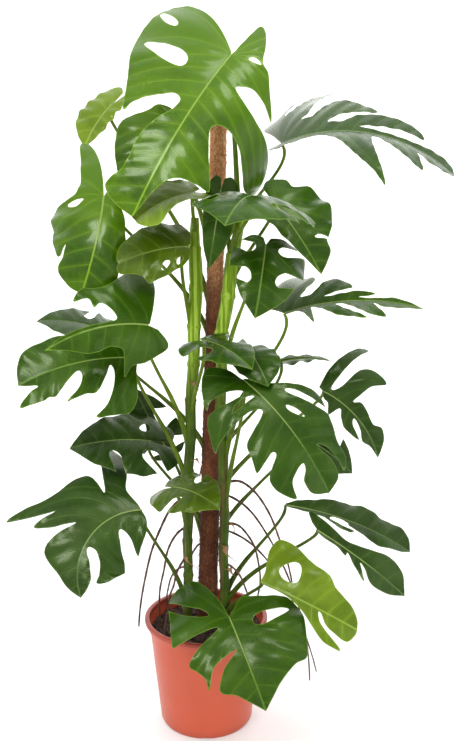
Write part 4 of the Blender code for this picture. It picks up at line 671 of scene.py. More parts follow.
def veinKeys(leaf, half):
    # where on that scale the blade is notched, slit or holed: no side vein runs there
    length = leaf.length
    dips = []
    fine = np.linspace(0.02, 0.98, 300)
    x, y = reachOut(fine, 1.0, leaf, half).T * length
    reach = np.hypot(y, np.minimum(x, 0))
    for k in range(1, 299):
        if reach[k] < reach[k - 1] and reach[k] <= reach[k + 1]:
            rise = min(reach[:k].max(), reach[k:].max()) - reach[k]
            if rise > leafShape["lobeDip"] * leaf.width[half]:
                dips.append(float(veinPlace(x[k], y[k], length)))
    for cut in leaf.cuts[half]:
        x, y = reachOut(cut[0], (cut[1] + cut[4]) / 2, leaf, half)[0] * length
        dips.append(float(veinPlace(x, y, length)))
    dips.sort()
    keys = [dip for k, dip in enumerate(dips) if k == 0 or dip - dips[k - 1] > leafShape["dipGap"]] or [0.0]
    unit = leafShape["veinGap"] / length
    counts, beyond = [0], 20    # veins past the first and last dent
    for near, far in zip(keys, keys[1:]):
        counts.append(counts[-1] + max(1, round((far - near) / unit)))
    keys = [keys[0] - beyond * unit] + keys + [keys[-1] + beyond * unit]
    return np.array(keys), np.array([-beyond] + counts + [counts[-1] + beyond], float)


def bendBlade(flat, lift, leaf):
    # fold along the midrib, curl of the sides, bow, droop and a light wave
    length = leaf.length
    x, y = flat.T
    half = np.where(y < 0, 1, 0)
    y = np.abs(y)
    side = 1 - 2 * half
    width = np.array(leaf.width)[half]
    fold = np.radians(leaf.fold)[half]
    k = np.radians(leaf.curl)[half] / width
    off = side * (np.sin(fold) - np.sin(fold - k * y)) / k
    z = lift + (np.cos(fold - k * y) - np.cos(fold)) / k
    waves = leafShape["waves"] * x / length + 2 + half
    z = z + leaf.wave * np.minimum(1, y / width)**2 * np.sin(waves)
    bow = math.radians(leaf.bow)
    head = bow / 2 - bow * x / length
    run = length / bow * (math.sin(bow / 2) - np.sin(head)) - off * np.sin(head)
    out = length / bow * (np.cos(head) - math.cos(bow / 2)) + off * np.cos(head)
    d = math.radians(leaf.droop)
    turn = d / (2 * length / bow * math.sin(bow / 2))
    angle = d / 2 - turn * run
    xm = (math.sin(d / 2) - np.sin(angle)) / turn
    zm = (np.cos(angle) - math.cos(d / 2)) / turn
    place = np.stack([xm - z * np.sin(angle), out, zm + z * np.cos(angle)], -1)
    return place @ np.array([leaf.along, leaf.across, leaf.up]) + np.array(leaf.joint)


def tubeMesh(points, radii, sides, side=None):
    # closed rings along a path, turned as little as they can be; a radius for each ring or each point
    points = np.asarray(points, float)
    tangents = np.gradient(points, axis=0)
    tangents /= np.linalg.norm(tangents, axis=1)[:, None]
    side = np.cross(tangents[0], (0.31, 0.87, 0.39)) if side is None else np.array(side, float)
    turns = np.arange(sides) * 2 * math.pi / sides
    rows = []
    for point, tangent, radius in zip(points, tangents, radii):
        side = side - tangent * side.dot(tangent)
        side /= np.linalg.norm(side)
        other = np.cross(tangent, side)
        ring = np.cos(turns)[:, None] * side + np.sin(turns)[:, None] * other
        rows += list(point + ring * np.broadcast_to(radius, sides)[:, None])
    faces = []
    for k in range(len(points) - 1):
        for n in range(sides):
            a, b = k * sides + n, k * sides + (n + 1) % sides
            faces.append((a, b, b + sides, a + sides))
    faces.append(tuple(range(sides - 1, -1, -1)))
    faces.append(tuple(range((len(points) - 1) * sides, len(points) * sides)))
    return rows, faces


def leafBlade(name, leaf):
    flat, faces, margin = flatBlade(leaf)
    length = leaf.length
    middle = flat[faces].mean(1)
    halfOf = (middle[:, 1] < 0).astype(int)
    keys = [veinKeys(leaf, half) for half in (0, 1)]
    x, y = flat[:, 0], np.abs(flat[:, 1])

    def phaseAt(x, y, half):
        return np.interp(veinPlace(x, y, length), *keys[half])

    side = (flat[:, 1] < 0).astype(int)
    phases = [phaseAt(x, y, half) for half in (0, 1)]
    tiny = 0.0004
    spans = []
    for half in (0, 1):
        dx = (phaseAt(x + tiny, y, half) - phases[half]) / tiny
        dy = (phaseAt(x, y + tiny, half) - phases[half]) / tiny
        spans.append(1 / np.maximum(np.hypot(dx, dy), 8.0))
    phase = np.where(side == 0, phases[0], phases[1])
    span = np.where(side == 0, spans[0], spans[1])
    deepAt, flatRib = leafShape["deepAt"], leafShape["flatRib"]
    depth = leafShape["pleat"] * np.clip(span / deepAt, 0, 1.2) * np.clip((y - flatRib) / deepAt, 0, 1)
    lift = depth * np.cos(2 * math.pi * phase)
    edge = np.clip(1 - margin / leafShape["rippleWidth"], 0, 1)
    lift += leafShape["ripple"] * edge**2 * np.sin(x * 210 + y * 170 + 9 * leaf.joint.x)
    ob = meshObject(name, bendBlade(flat, lift, leaf), faces)
    mesh = ob.data
    corners = np.array([loop.vertex_index for loop in mesh.loops])
    cornerHalf = np.repeat(halfOf, 3)
    width = np.array(leaf.width)
    outward = np.clip(y[corners] / width[cornerHalf], 0, 1.5)
    vein = np.stack([np.where(cornerHalf == 0, phases[0][corners], phases[1][corners]),
                     np.where(cornerHalf == 0, spans[0][corners], spans[1][corners]), outward], -1)
    blade = np.stack([y, x / length, margin], -1)
    for title, domain, values in (("vein", "CORNER", vein), ("blade", "POINT", blade)):
        layer = mesh.attributes.new(title, "FLOAT_VECTOR", domain)
        layer.data.foreach_set("vector", values.astype(np.float32).ravel())
    clean = bmesh.new()
    clean.from_mesh(mesh)
    bmesh.ops.delete(clean, geom=[v for v in clean.verts if not v.link_faces], context="VERTS")
    bmesh.ops.recalc_face_normals(clean, faces=clean.faces)
    if sum(f.normal.dot(leaf.up) * f.calc_area() for f in clean.faces) < 0:
        bmesh.ops.reverse_faces(clean, faces=clean.faces)
    clean.to_mesh(mesh)
    clean.free()
    shaped(ob, "SOLIDIFY", thickness=leafShape["thickness"], offset=0.0, material_offset=1)
    return ob


def midrib(leaf):
    # the raised midrib under the blade
    run = np.linspace(0.0, leafShape["ribEnd"], leafShape["ribRings"])
    flat = np.stack([run * leaf.length, np.full(len(run), 1e-6)], -1)
    radii = leafShape["ribFoot"] + (leafShape["ribTip"] - leafShape["ribFoot"]) * run
    middle = bendBlade(flat, -leafShape["ribSink"] * radii, leaf)
    return meshObject("midrib", *tubeMesh(middle, radii, leafShape["ribSides"]))


def upperLook(name, tone):
    look = Look(name, Roughness=0.34, Specular_IOR_Level=0.26, Specular_Tint=(0.70, 0.92, 0.32, 1.0),
                Coat_Roughness=0.14)
    phase, span, outward = look.attribute("vein")
    rib, along, margin = look.attribute("blade")
    side = abs(phase.part() - 0.5) * span
    vein = side.ramp(0.0016, 0.0005) * (1.0 - 0.55 * outward)
    middle = rib.ramp(0.0025, 0.0009)
    cloud = look.noise(16.0, 4.0)
    fleck = look.noise(160.0, 3.0)
    net = look.cells(260.0)
    base = look.layers(look.mix(cloud.ramp(0.35, 0.68), tone["deep"], tone["light"]),
                       (outward.ramp(0.3, 1.1) * 0.35, tone["light"]),
                       # painted light: the joint end is lighter, and the tip half is left darker as painted shade
                       (along.ramp(0.55, 0.0) * tone["head"], tone["light"]),
                       (side.ramp(0.0070, 0.0010) * tone["veins"], tone["glow"]),
                       (fleck.ramp(0.55, 0.75) * 0.16, tone["glow"]),
                       (net.ramp(0.10, 0.02) * 0.14, tone["glow"]),
                       (vein * tone["veins"], tone["vein"]),
                       (middle * tone["rib"], tone["vein"]),
                       (margin.ramp(0.0016, 0.0005) * 0.65, tone["vein"]))
    bump = look.bump(1.0 - 0.8 * vein - 0.9 * middle, 0.0006, 0.7)
    return look.feed(Base_Color=base, Roughness=0.17 + 0.10 * cloud + 0.06 * fleck,
                     Coat_Weight=tone["coat"] - 0.06 * vein,
                     Normal=look.bump(net.ramp(0.0, 0.12) + 0.6 * fleck, 0.00018, 0.6, bump))


def underLook(name, tone):
    look = Look(name, Roughness=0.5, Specular_IOR_Level=0.16, Specular_Tint=(0.75, 0.9, 0.35, 1.0))
    phase, span, outward = look.attribute("vein")
    vein = (abs(phase.part() - 0.5) * span).ramp(0.0018, 0.0005) * (1.0 - 0.5 * outward)
    cloud = look.noise(20.0, 4.0)
    net = look.cells(240.0).ramp(0.12, 0.02)
    base = look.layers(look.mix(cloud.ramp(0.35, 0.68), tone["under"], tone["underLight"]),
                       (net * 0.25, tone["underLight"]), (vein * 0.7, tone["vein"]))
    return look.feed(Base_Color=base, Roughness=0.42 + 0.2 * cloud, Normal=look.bump(vein + 0.3 * net, 0.0007, 0.8))


def ribLook():
    look = Look("leaf rib", Roughness=0.4)
    streak = look.noise(1.0, 3.0, 0.5, look.stretch((300, 300, 60)))
    return look.feed(Base_Color=look.mix(streak, (0.13, 0.20, 0.025), (0.21, 0.28, 0.05)),
                     Roughness=0.34 + 0.2 * streak, Normal=look.bump(streak, 0.0002, 0.5))


# colours of the leaf kinds: upper face, its veins, and the underside; then the weight of the coat, of the painted
# light that makes the joint end lighter and leaves the tip half darker as painted shade, of the side veins and of the
# midrib
tones = {
    "bright": dict(deep=(0.012, 0.048, 0.0002), light=(0.050, 0.118, 0.0006), glow=(0.085, 0.17, 0.002),
                   vein=(0.17, 0.30, 0.015), under=(0.13, 0.22, 0.015), underLight=(0.19, 0.28, 0.03),
                   coat=0.20, head=0.9, veins=0.22, rib=0.8),
    "fresh": dict(deep=(0.068, 0.118, 0.004), light=(0.120, 0.185, 0.009), glow=(0.17, 0.27, 0.015),
                  vein=(0.22, 0.33, 0.04), under=(0.15, 0.22, 0.02), underLight=(0.20, 0.27, 0.04),
                  coat=0.13, head=0.4, veins=0.2, rib=0.7),
    "middle": dict(deep=(0.008, 0.034, 0.0003), light=(0.022, 0.064, 0.0005), glow=(0.050, 0.115, 0.003),
                   vein=(0.12, 0.22, 0.02), under=(0.10, 0.16, 0.02), underLight=(0.15, 0.21, 0.04),
                   coat=0.13, head=0.5, veins=0.13, rib=0.5),
    "deep": dict(deep=(0.007, 0.030, 0.0006), light=(0.017, 0.052, 0.0012), glow=(0.036, 0.080, 0.004),
                 vein=(0.08, 0.15, 0.025), under=(0.07, 0.10, 0.03), underLight=(0.11, 0.15, 0.06),
                 coat=0.13, head=0.4, veins=0.12, rib=0.42),
    "grey": dict(deep=(0.007, 0.025, 0.002), light=(0.016, 0.044, 0.004), glow=(0.038, 0.075, 0.011),
                 vein=(0.09, 0.15, 0.04), under=(0.09, 0.12, 0.05), underLight=(0.14, 0.17, 0.08),
                 coat=0.13, head=0.3, veins=0.13, rib=0.45),
    "olive": dict(deep=(0.024, 0.050, 0.0004), light=(0.052, 0.092, 0.001), glow=(0.080, 0.13, 0.004),
                  vein=(0.14, 0.19, 0.02), under=(0.26, 0.42, 0.006), underLight=(0.34, 0.50, 0.015),
                  coat=0.13, head=0.4, veins=0.16, rib=0.45),
}

print("leaves")
ribGreen = ribLook()
leafLooks = {kind: [upperLook("leaf upper " + kind, tone), underLook("leaf under " + kind, tone), ribGreen]
             for kind, tone in tones.items()}
for name, leaf in leaves.items():
    looks = leafLooks[leaf.tone]
    blade, rib = leafBlade(name, leaf), midrib(leaf)
    wear(blade, looks)
    wear(rib, looks, 2)
    joinInto(blade, [rib])
    smoothed(blade, leafShape["smooth"])
    addPiece(blade, name + "_blade", [name], looks)


# Climbing stems, in millimetres. Path: x, y, z and radius of points from the soil up. Aerial roots: height, two
# points they bow to, end, radius. Husks: height, turn about the stem in radians, length.
stems = {
    "left": {
        "path": [(-36, -26, 150, 9.5), (-35, -27, 300, 9.5), (-31, -30, 500, 10), (-24, -34, 680, 10.5),
                 (-17, -36, 800, 12.5), (-14, -36, 920, 13), (-16, -35, 1000, 7.5)],
        "roots": [(470, (-70, -50, 490), (-125, -45, 330), (-130, -45, 215), 3.04),
                  (410, (-70, -20, 420), (-100, -10, 280), (-92, -5, 197), 2.72),
                  (360, (-60, -60, 340), (-75, -60, 260), (-78, -50, 197), 2.4),
                  (330, (-70, 10, 330), (-85, 30, 240), (-80, 35, 197), 2.24)],
        "husks": [(360, 3.9, 26), (550, 5.2, 24), (700, 4.3, 22)]},
    "right": {
        "path": [(33, -24, 150, 9.5), (36, -26, 300, 9.5), (36, -32, 500, 10), (30, -38, 700, 10.5),
                 (34, -40, 800, 12.5), (52, -38, 920, 13), (66, -36, 1000, 7.5)],
        "roots": [(500, (90, -5, 530), (150, -10, 400), (168, -30, 300), 2.88),
                  (420, (90, -10, 430), (130, 0, 300), (90, 20, 197), 2.56),
                  (340, (80, -50, 330), (100, -30, 240), (82, -20, 197), 2.24)],
        "husks": [(330, 4.9, 28), (380, 4.2, 34), (420, 5.4, 26), (620, 4.6, 22)]},
    "back": {
        "path": [(2, 42, 150, 9.5), (4, 41, 350, 9.5), (10, 40, 600, 9.5), (18, 38, 850, 9), (24, 37, 980, 6.5)],
        "roots": [(450, (90, 70, 480), (205, 50, 260), (212, 30, 55), 2.72),
                  (380, (100, 90, 380), (200, 80, 200), (228, 55, 60), 2.4),
                  (350, (-40, 90, 340), (-50, 80, 260), (-45, 75, 197), 2.4)],
        "husks": [(330, 1.2, 40), (520, 2.0, 45), (740, 1.3, 40)]},
}
stemPaths = {name: np.array(stem["path"]) / 1000 for name, stem in stems.items()}

stemShape = {
    "ring": 0.006,          # distance between the rings of the stem's mesh
    "node": 0.070,          # distance between joints of the stem
    "nodeSwell": 0.16,
    "nodeLength": 0.0045,
    "sway": 0.0012,
    "stalkFoot": 0.0048,    # radii of a leaf stalk
    "stalkMiddle": 0.0033,
    "stalkTip": 0.0026,
    "stalkRings": 34,
    "stalkRise": 0.40,      # pull upwards at the stem and towards the blade's joint,
    "stalkLanding": 0.22,   # as shares of the stalk's length
    "wing": 0.9,            # how far the sheath stands out, in radii
    "wingEnd": 0.52,        # where it ends along the stalk
    "wingTurn": 0.75,       # place and width round the stalk, in radians
    "wingWidth": 0.24,
    "groove": 0.22,
    "grooveWidth": 0.35,
    "knee": 0.22,           # swelling below the blade, its place and length
    "kneeBelow": 0.022,
    "kneeLength": 0.014,
    "rootRings": 40,
    "rootWobble": 0.0022,
    "rootBends": 8,         # points that the wobble is given at
    "rootTip": 0.55,        # radius at its end, as a share
    "huskSteps": 12,
    "huskThickness": 0.0005,
    "huskFrom": 0.010,      # distance from the middle of the stem, and how far it rolls off
    "huskOut": 0.014,
    "huskWidth": 0.13,      # share of its length
    "sides": (24, 20, 8),   # of stem, stalk and root
    "smooth": 60,
}


def bezier(a, b, c, d, count):
    t = np.linspace(0, 1, count)[:, None]
    return (1 - t)**3 * a + 3 * t * (1 - t)**2 * b + 3 * t**2 * (1 - t) * c + t**3 * d


def stemPoint(path, height):
    return np.array([np.interp(height, path[:, 2], path[:, k]) for k in range(3)])


def petiole(leaf):
    # leaf stalk: sheath wings at its foot, a swollen knee just below the blade
    count, sides = stemShape["stalkRings"], stemShape["sides"][1]
    stem = stemPaths[leaf.stem]
    d = math.radians(leaf.droop) / 2
    normal = np.array(leaf.up) * math.cos(d) - np.array(leaf.along) * math.sin(d)
    end = np.array(leaf.joint) - normal * leaf.drop
    start = stemPoint(stem, leaf.height)
    far = np.linalg.norm(end - start)
    into = np.array(leaf.arrive) if leaf.arrive else normal - np.array(leaf.along) * 0.1
    into = into / np.linalg.norm(into)
    rise, landing = stemShape["stalkRise"], stemShape["stalkLanding"]
    path = bezier(start, start + np.array((0, 0, rise)) * far, end - into * far * landing, end, count)
    run = np.linspace(0, 1, count)
    foot, middle, tip = stemShape["stalkFoot"], stemShape["stalkMiddle"], stemShape["stalkTip"]
    radii = np.interp(run, [0, 0.35, 0.85, 1], [foot, middle, middle * 0.92, tip])
    distance = (1 - run) * far
    below = (distance - stemShape["kneeBelow"]) / stemShape["kneeLength"]
    radii = radii * (1 + stemShape["knee"] * np.exp(-below**2))
    turns = np.arange(sides) * 2 * math.pi / sides
    wingTurn = stemShape["wingTurn"]
    spread = np.minimum(np.abs(turns - wingTurn), np.abs(turns - 2 * math.pi + wingTurn))
    wings = stemShape["wing"] * np.exp(-(spread / stemShape["wingWidth"])**2)
    off = np.minimum(turns, 2 * math.pi - turns)
    groove = stemShape["groove"] * np.exp(-(off / stemShape["grooveWidth"])**2)
    fade = np.clip((stemShape["wingEnd"] - run) / 0.12, 0, 1) * np.clip(run / 0.05, 0, 1)
    shape = radii[:, None] * (1 + fade[:, None] * wings - groove)
    toStem = stemPoint(stem, min(0.98, leaf.height + 0.4 * far)) - path[count // 3]
    return tubeMesh(path, shape, sides, side=toStem)


def stemTube(path, seed):
    x, y, height, radius = path.T
    z = np.linspace(height[0], height[-1], int((height[-1] - height[0]) / stemShape["ring"]))
    points = np.stack([np.interp(z, height, x), np.interp(z, height, y), z], -1)
    points[1:-1] = (points[:-2] + points[1:-1] + points[2:]) / 3
    beat = (z + 0.013 * seed) % stemShape["node"] - stemShape["node"] / 2
    swell = stemShape["nodeSwell"] * np.exp(-(beat / stemShape["nodeLength"])**2)
    waist = 0.07 * np.exp(-((beat - 0.009) / 0.004)**2)    # just above each joint
    radii = np.interp(z, height, radius) * (0.96 + swell - waist)
    points[:, 0] += stemShape["sway"] * np.sin(z * 2 * math.pi / stemShape["node"] / 2 + seed)
    return tubeMesh(points, radii, stemShape["sides"][0])


def rootTube(path, rng, height, near, far, end, radius):
    # hanging aerial root, a little wobbly and knotted
    count, bends = stemShape["rootRings"], stemShape["rootBends"]
    line = bezier(stemPoint(path, height / 1000), *(np.array(p) / 1000 for p in (near, far, end)), count)
    wobble = np.array([[rng.uniform(-1, 1) for axis in range(3)] for bend in range(bends)])
    wobble *= stemShape["rootWobble"]
    wobble[0] = wobble[-1] = 0
    run = np.linspace(0, bends - 1, count)
    line += np.stack([np.interp(run, range(bends), wobble[:, k]) for k in range(3)], -1)
    line[1:-1] = (line[:-2] + 2 * line[1:-1] + line[2:]) / 4
    taper = np.linspace(1.0, stemShape["rootTip"], count) * (1 + 0.12 * np.sin(np.arange(count) * 1.9))
    return tubeMesh(line, radius / 1000 * taper, stemShape["sides"][2])


def husk(place, turn, size):
    # a dried, curled strip of old sheath
    rows = []
    steps = stemShape["huskSteps"]
    for k in range(steps + 1):
        q = k / steps
        roll = turn + 1.5 * q + 0.3 * math.sin(7 * q)
        out = np.array((math.cos(roll), math.sin(roll), 0))
        away = stemShape["huskFrom"] + stemShape["huskOut"] * q
        middle = place + out * away + np.array((0, 0, -size * q + 0.012 * math.sin(3 * q)))
        wide = size * stemShape["huskWidth"] * math.sin(math.pi * min(1, 0.15 + 0.9 * q)) + 0.0004
        lean = np.array((-math.sin(roll), math.cos(roll), 0.5 * math.sin(9 * q + turn)))
        rows += [middle - lean * wide, middle + out * wide * 0.4, middle + lean * wide]
    starts = [k * 3 + n for k in range(steps) for n in (0, 1)]
    ob = meshObject("husk", rows, [(a, a + 1, a + 4, a + 3) for a in starts])
    shaped(ob, "SOLIDIFY", thickness=stemShape["huskThickness"])
    return ob


stalkGloss = {"Specular_IOR_Level": 0.3, "Specular_Tint": (0.8, 0.95, 0.4, 1.0)}


def stemLook():
    look = Look("climbing stem", **stalkGloss)
    long = look.noise(1.0, 3.0, 0.55, look.stretch((200, 200, 5)))
    cloud = look.noise(22.0, 3.0)
    spot = look.cells(420.0, "F1")
    height = look.axis(2)
    sheath = look.mix(long.ramp(0.42, 0.62), (0.13, 0.23, 0.004), (0.34, 0.50, 0.06))
    base = look.layers(look.mix(cloud.ramp(0.35, 0.7), (0.022, 0.050, 0.003), (0.055, 0.105, 0.008)),
                       (long.ramp(0.5, 0.75) * 0.35, (0.080, 0.115, 0.022)),
                       (height.ramp(0.62, 0.82) * 0.9, sheath),
                       (long.ramp(0.50, 0.62) * height.ramp(0.72, 0.50) * 0.7, (0.105, 0.048, 0.020)),
                       (spot.ramp(0.22, 0.10) * 0.3, (0.10, 0.13, 0.035)),
                       (height.ramp(0.27, 0.19) * 0.55, (0.045, 0.030, 0.012)))
    return look.feed(Base_Color=base, Roughness=0.36 + 0.22 * cloud,
                     Normal=look.bump(long + 0.3 * cloud, 0.0004, 0.5))


def petioleLook():
    look = Look("leaf stalk", **stalkGloss)
    long = look.noise(1.0, 4.0, 0.5, look.stretch((150, 150, 40)))
    cloud = look.noise(14.0, 3.0)
    fleck = look.cells(600.0, "F1")
    darkerDownwards = look.axis(2).ramp(0.80, 0.40)    # stalks are darker towards the bottom
    base = look.layers(look.mix(cloud.ramp(0.3, 0.7), (0.060, 0.110, 0.003), (0.140, 0.215, 0.008)),
                       (darkerDownwards * 0.8, (0.030, 0.055, 0.004)), (long.ramp(0.5, 0.8) * 0.3, (0.24, 0.34, 0.045)),
                       (fleck.ramp(0.20, 0.10) * 0.3, (0.18, 0.25, 0.07)))
    return look.feed(Base_Color=base, Roughness=0.33 + 0.2 * cloud, Normal=look.bump(long, 0.0003, 0.5))


def rootLook():
    look = Look("aerial root", IOR=1.4)
    long = look.noise(1.0, 3.0, 0.6, look.stretch((500, 500, 120)))
    cloud = look.noise(18.0, 3.0)
    base = look.layers(look.mix(cloud.ramp(0.35, 0.7), (0.045, 0.020, 0.012), (0.120, 0.055, 0.028)),
                       (long.ramp(0.55, 0.8) * 0.4, (0.20, 0.12, 0.07)))
    return look.feed(Base_Color=base, Roughness=0.6 + 0.25 * long, Normal=look.bump(long, 0.0004, 0.8))


def huskLook():
    look = Look("dried husk", IOR=1.4)
    long = look.noise(1.0, 4.0, 0.6, look.stretch((700, 700, 60)))
    cloud = look.noise(60.0, 3.0)
    base = look.layers(look.mix(cloud.ramp(0.3, 0.7), (0.17, 0.075, 0.028), (0.33, 0.19, 0.09)),
                       (long.ramp(0.55, 0.7) * 0.6, (0.13, 0.06, 0.03)))
    return look.feed(Base_Color=base, Roughness=0.7 + 0.2 * long, Normal=look.bump(long, 0.0004, 0.8))


print("stems")
stemLooks = [stemLook(), petioleLook(), rootLook(), huskLook()]
for number, (name, stem) in enumerate(stems.items()):
    rng = random.Random(40 + number)
    path = stemPaths[name]
    parts = [(meshObject("stem", *stemTube(path, number)), 0)]
    parts += [(meshObject("stalk", *petiole(leaf)), 1) for leaf in leaves.values() if leaf.stem == name]
    parts += [(meshObject("root", *rootTube(path, rng, *root)), 2) for root in stem["roots"]]
    parts += [(husk(stemPoint(path, height / 1000), turn, size / 1000), 3) for height, turn, size in stem["husks"]]
    for part, kind in parts:
        wear(part, stemLooks, kind)
    live = parts[0][0]
    joinInto(live, [part for part, kind in parts[1:]])
    smoothed(live, stemShape["smooth"])
    addPiece(live, "stems_" + name + "_live", ["stems_" + name], stemLooks)


print("coir pole")
pole = {"foot": (-0.003, 0.0, 0.020), "head": (0.028, 0.0, 1.180), "footRadius": 0.0200,
        "headRadius": 0.0142, "sides": 64, "cuts": (90, 2), "rough": 0.0016, "grain": 0.006,
        "domeFrom": 0.985, "fibres": 1500, "fibresFrom": 0.12, "fibreLength": (0.012, 0.050),
        "fibreClimb": 1.1, "fibreRadius": 0.00038, "fibreSteps": 5, "stray": 0.009}
poleFoot, poleHead = Vector(pole["foot"]), Vector(pole["head"])


def poleRadius(share):
    # thinner upwards, with a rounded end
    radius = pole["footRadius"] + (pole["headRadius"] - pole["footRadius"]) * min(1, share * 1.15)
    return radius * math.sqrt(max(0.02, 1 - max(0, (share - pole["domeFrom"]) / 0.015)**2))


tall = poleHead.z - poleFoot.z
core = begin(bpy.ops.mesh.primitive_cylinder_add, vertices=pole["sides"], radius=1.0, depth=tall,
             location=(0, 0, poleFoot.z + tall / 2))
editing(True)
for cuts in pole["cuts"]:
    choose(core, "edges", lambda edge: abs(edge.verts[0].co.z - edge.verts[1].co.z) > 0.001)
    bpy.ops.mesh.subdivide(number_cuts=cuts)
editing(False)
for v in core.data.vertices:
    share = (v.co.z - poleFoot.z) / tall
    turn = math.atan2(v.co.y, v.co.x)
    lump = math.sin(5 * turn + 31 * share) * math.sin(67 * share) + math.sin(13 * turn - 190 * share)
    radius = poleRadius(share) + pole["rough"] * 0.4 * lump
    middle = poleFoot.lerp(poleHead, share)
    v.co.x = middle.x + radius * math.cos(turn)
    v.co.y = middle.y + radius * math.sin(turn)
roughened(core, "coir", pole["grain"], strength=pole["rough"], mid_level=0.6)
bpy.ops.object.shade_smooth()

rng = random.Random(7)
rows, faces = [], []
for k in range(pole["fibres"]):
    share = rng.uniform(pole["fibresFrom"], 0.995)
    turn = rng.uniform(0, 2 * math.pi)
    size = rng.uniform(*pole["fibreLength"])
    climb = rng.uniform(-pole["fibreClimb"], pole["fibreClimb"])
    stray = rng.uniform(0.2, 1.0)**3 * pole["stray"]
    line = []
    for n in range(pole["fibreSteps"] + 1):
        q = n / pole["fibreSteps"]
        there = min(1.0, max(0.02, share + q * size * math.sin(climb) / tall))
        radius = poleRadius(there)
        around = turn + q * size * math.cos(climb) / max(radius, 0.008)
        radius += 0.0006 + stray * (2 * q - 1)**2 * (1 if q > 0.5 else 0.5)
        middle = poleFoot.lerp(poleHead, there)
        line.append((middle.x + radius * math.cos(around), middle.y + radius * math.sin(around), middle.z))
    thick = pole["fibreRadius"] * rng.uniform(0.7, 1.3)
    points, quads = tubeMesh(line, [thick] * 4 + [thick * 0.8, thick * 0.4], 3)
    faces += [tuple(i + len(rows) for i in quad) for quad in quads]
    rows += points
joinInto(core, [meshObject("fibres", rows, faces)])


def coirLook():
    look = Look("coir", Specular_IOR_Level=0.15, Sheen_Weight=0.06, Sheen_Roughness=0.6)
    strand = look.noise(1.0, 5.0, 0.65, look.stretch((420, 420, 150)))
    cloud = look.noise(30.0, 4.0)
    fine = look.noise(900.0, 2.0)
    # painted light: a lighter colour for the lit top of the pole
    paintedLitTop = look.mix(strand.ramp(0.40, 0.62), (0.58, 0.21, 0.075), (0.98, 0.56, 0.30))
    base = look.layers(look.mix(cloud.ramp(0.3, 0.7), (0.070, 0.018, 0.007), (0.150, 0.048, 0.018)),
                       (strand.ramp(0.5, 0.72) * 0.7, (0.32, 0.14, 0.065)),
                       (strand.ramp(0.46, 0.30) * 0.6, (0.055, 0.020, 0.010)),
                       (look.axis(2).ramp(0.80, 1.00) * 0.95, paintedLitTop))    # painted light: the top is much lighter, as if lit, and the lower part stays dark as painted shade
    return look.feed(Base_Color=base, Roughness=0.75 + 0.2 * fine,
                     Normal=look.bump(strand + 0.4 * fine, 0.0012, 0.9))


addPiece(core, "coir_fibre_pole", ["coir_pole"], [coirLook()])


print("soil")
soil = {"level": 0.1905, "radius": 0.1075, "grid": 110, "depth": 0.012,
        "hump": 0.0030, "lumps": 0.004, "grain": 0.005, "litterHeight": 0.0015,
        "crumbs": 1500, "crumbSize": (0.0012, 0.0036), "chips": 260, "chipSize": (0.002, 0.0045),
        "chipShape": (1.9, 0.8, 0.42), "chipBevel": 0.14, "lean": 0.7}
ground = begin(bpy.ops.mesh.primitive_grid_add, x_subdivisions=soil["grid"], y_subdivisions=soil["grid"],
               size=2.1 * soil["radius"], location=(0, 0, soil["level"]))
editing(True)
choose(ground, "faces", lambda face: math.hypot(*face.calc_center_median().xy) > soil["radius"])
bpy.ops.mesh.delete(type="FACE")
bpy.context.tool_settings.mesh_select_mode = (False, True, False)
bpy.ops.mesh.select_all(action="DESELECT")
bpy.ops.mesh.select_non_manifold(extend=False)
editing(False)
for v in ground.data.vertices:
    x, y = v.co.x, v.co.y
    reach = math.hypot(x, y)
    if v.select and reach > 0.8 * soil["radius"]:
        v.co.x, v.co.y = x * soil["radius"] / reach, y * soil["radius"] / reach
    humps = math.sin(95 * x + 1.0) * math.sin(110 * y + 2.0)
    v.co.z += soil["hump"] * (humps + 0.5 * math.sin(210 * x + 160 * y))
editing(True)
bpy.ops.mesh.extrude_region_move(TRANSFORM_OT_translate={"value": (0, 0, -soil["depth"])})
editing(False)
roughened(ground, "soil", soil["grain"], direction="Z", strength=soil["lumps"])

deselect()
bpy.ops.mesh.primitive_ico_sphere_add(subdivisions=1, radius=1.0)
crumb = bpy.context.object
for n, v in enumerate(crumb.data.vertices):
    v.co *= 0.75 + 0.4 * abs(math.sin(37.0 * n + 1))
deselect()
bpy.ops.mesh.primitive_cube_add(size=1.0)
chip = bpy.context.object
editing(True)
bpy.ops.mesh.select_all(action="SELECT")
bpy.ops.mesh.bevel(offset=soil["chipBevel"], segments=1)
editing(False)
long, wide, thick = soil["chipShape"]
for n, v in enumerate(chip.data.vertices):
    v.co.x *= long
    v.co.y *= wide + 0.2 * math.sin(9.3 * n + 2)
    v.co.z *= thick + 0.25 * math.sin(5.1 * n)
rng = random.Random(11)
rows, faces, kinds = [], [], []
for kind, model, count, sizes in ((1, crumb, soil["crumbs"], soil["crumbSize"]),
                                  (2, chip, soil["chips"], soil["chipSize"])):
    shape = [v.co.copy() for v in model.data.vertices]
    skin = [tuple(face.vertices) for face in model.data.polygons]
    for k in range(count):
        reach = soil["radius"] * math.sqrt(rng.uniform(0, 0.985))
        turn = rng.uniform(0, 2 * math.pi)
        size = rng.uniform(*sizes)
        spin = Matrix.Rotation(rng.uniform(0, 6.28), 3, "Z")
        spin = spin @ Matrix.Rotation(rng.uniform(-soil["lean"], soil["lean"]), 3, "X")
        height = soil["level"] + soil["litterHeight"] + size * 0.2
        lift = Vector((reach * math.cos(turn), reach * math.sin(turn), height))
        first = len(rows)
        rows += [spin @ (co * size) + lift for co in shape]
        faces += [tuple(first + i for i in face) for face in skin]
        kinds += [kind] * len(skin)
litter = meshObject("litter", rows, faces)
litter.data.polygons.foreach_set("material_index", kinds)
for model in (crumb, chip):
    bpy.data.objects.remove(model)


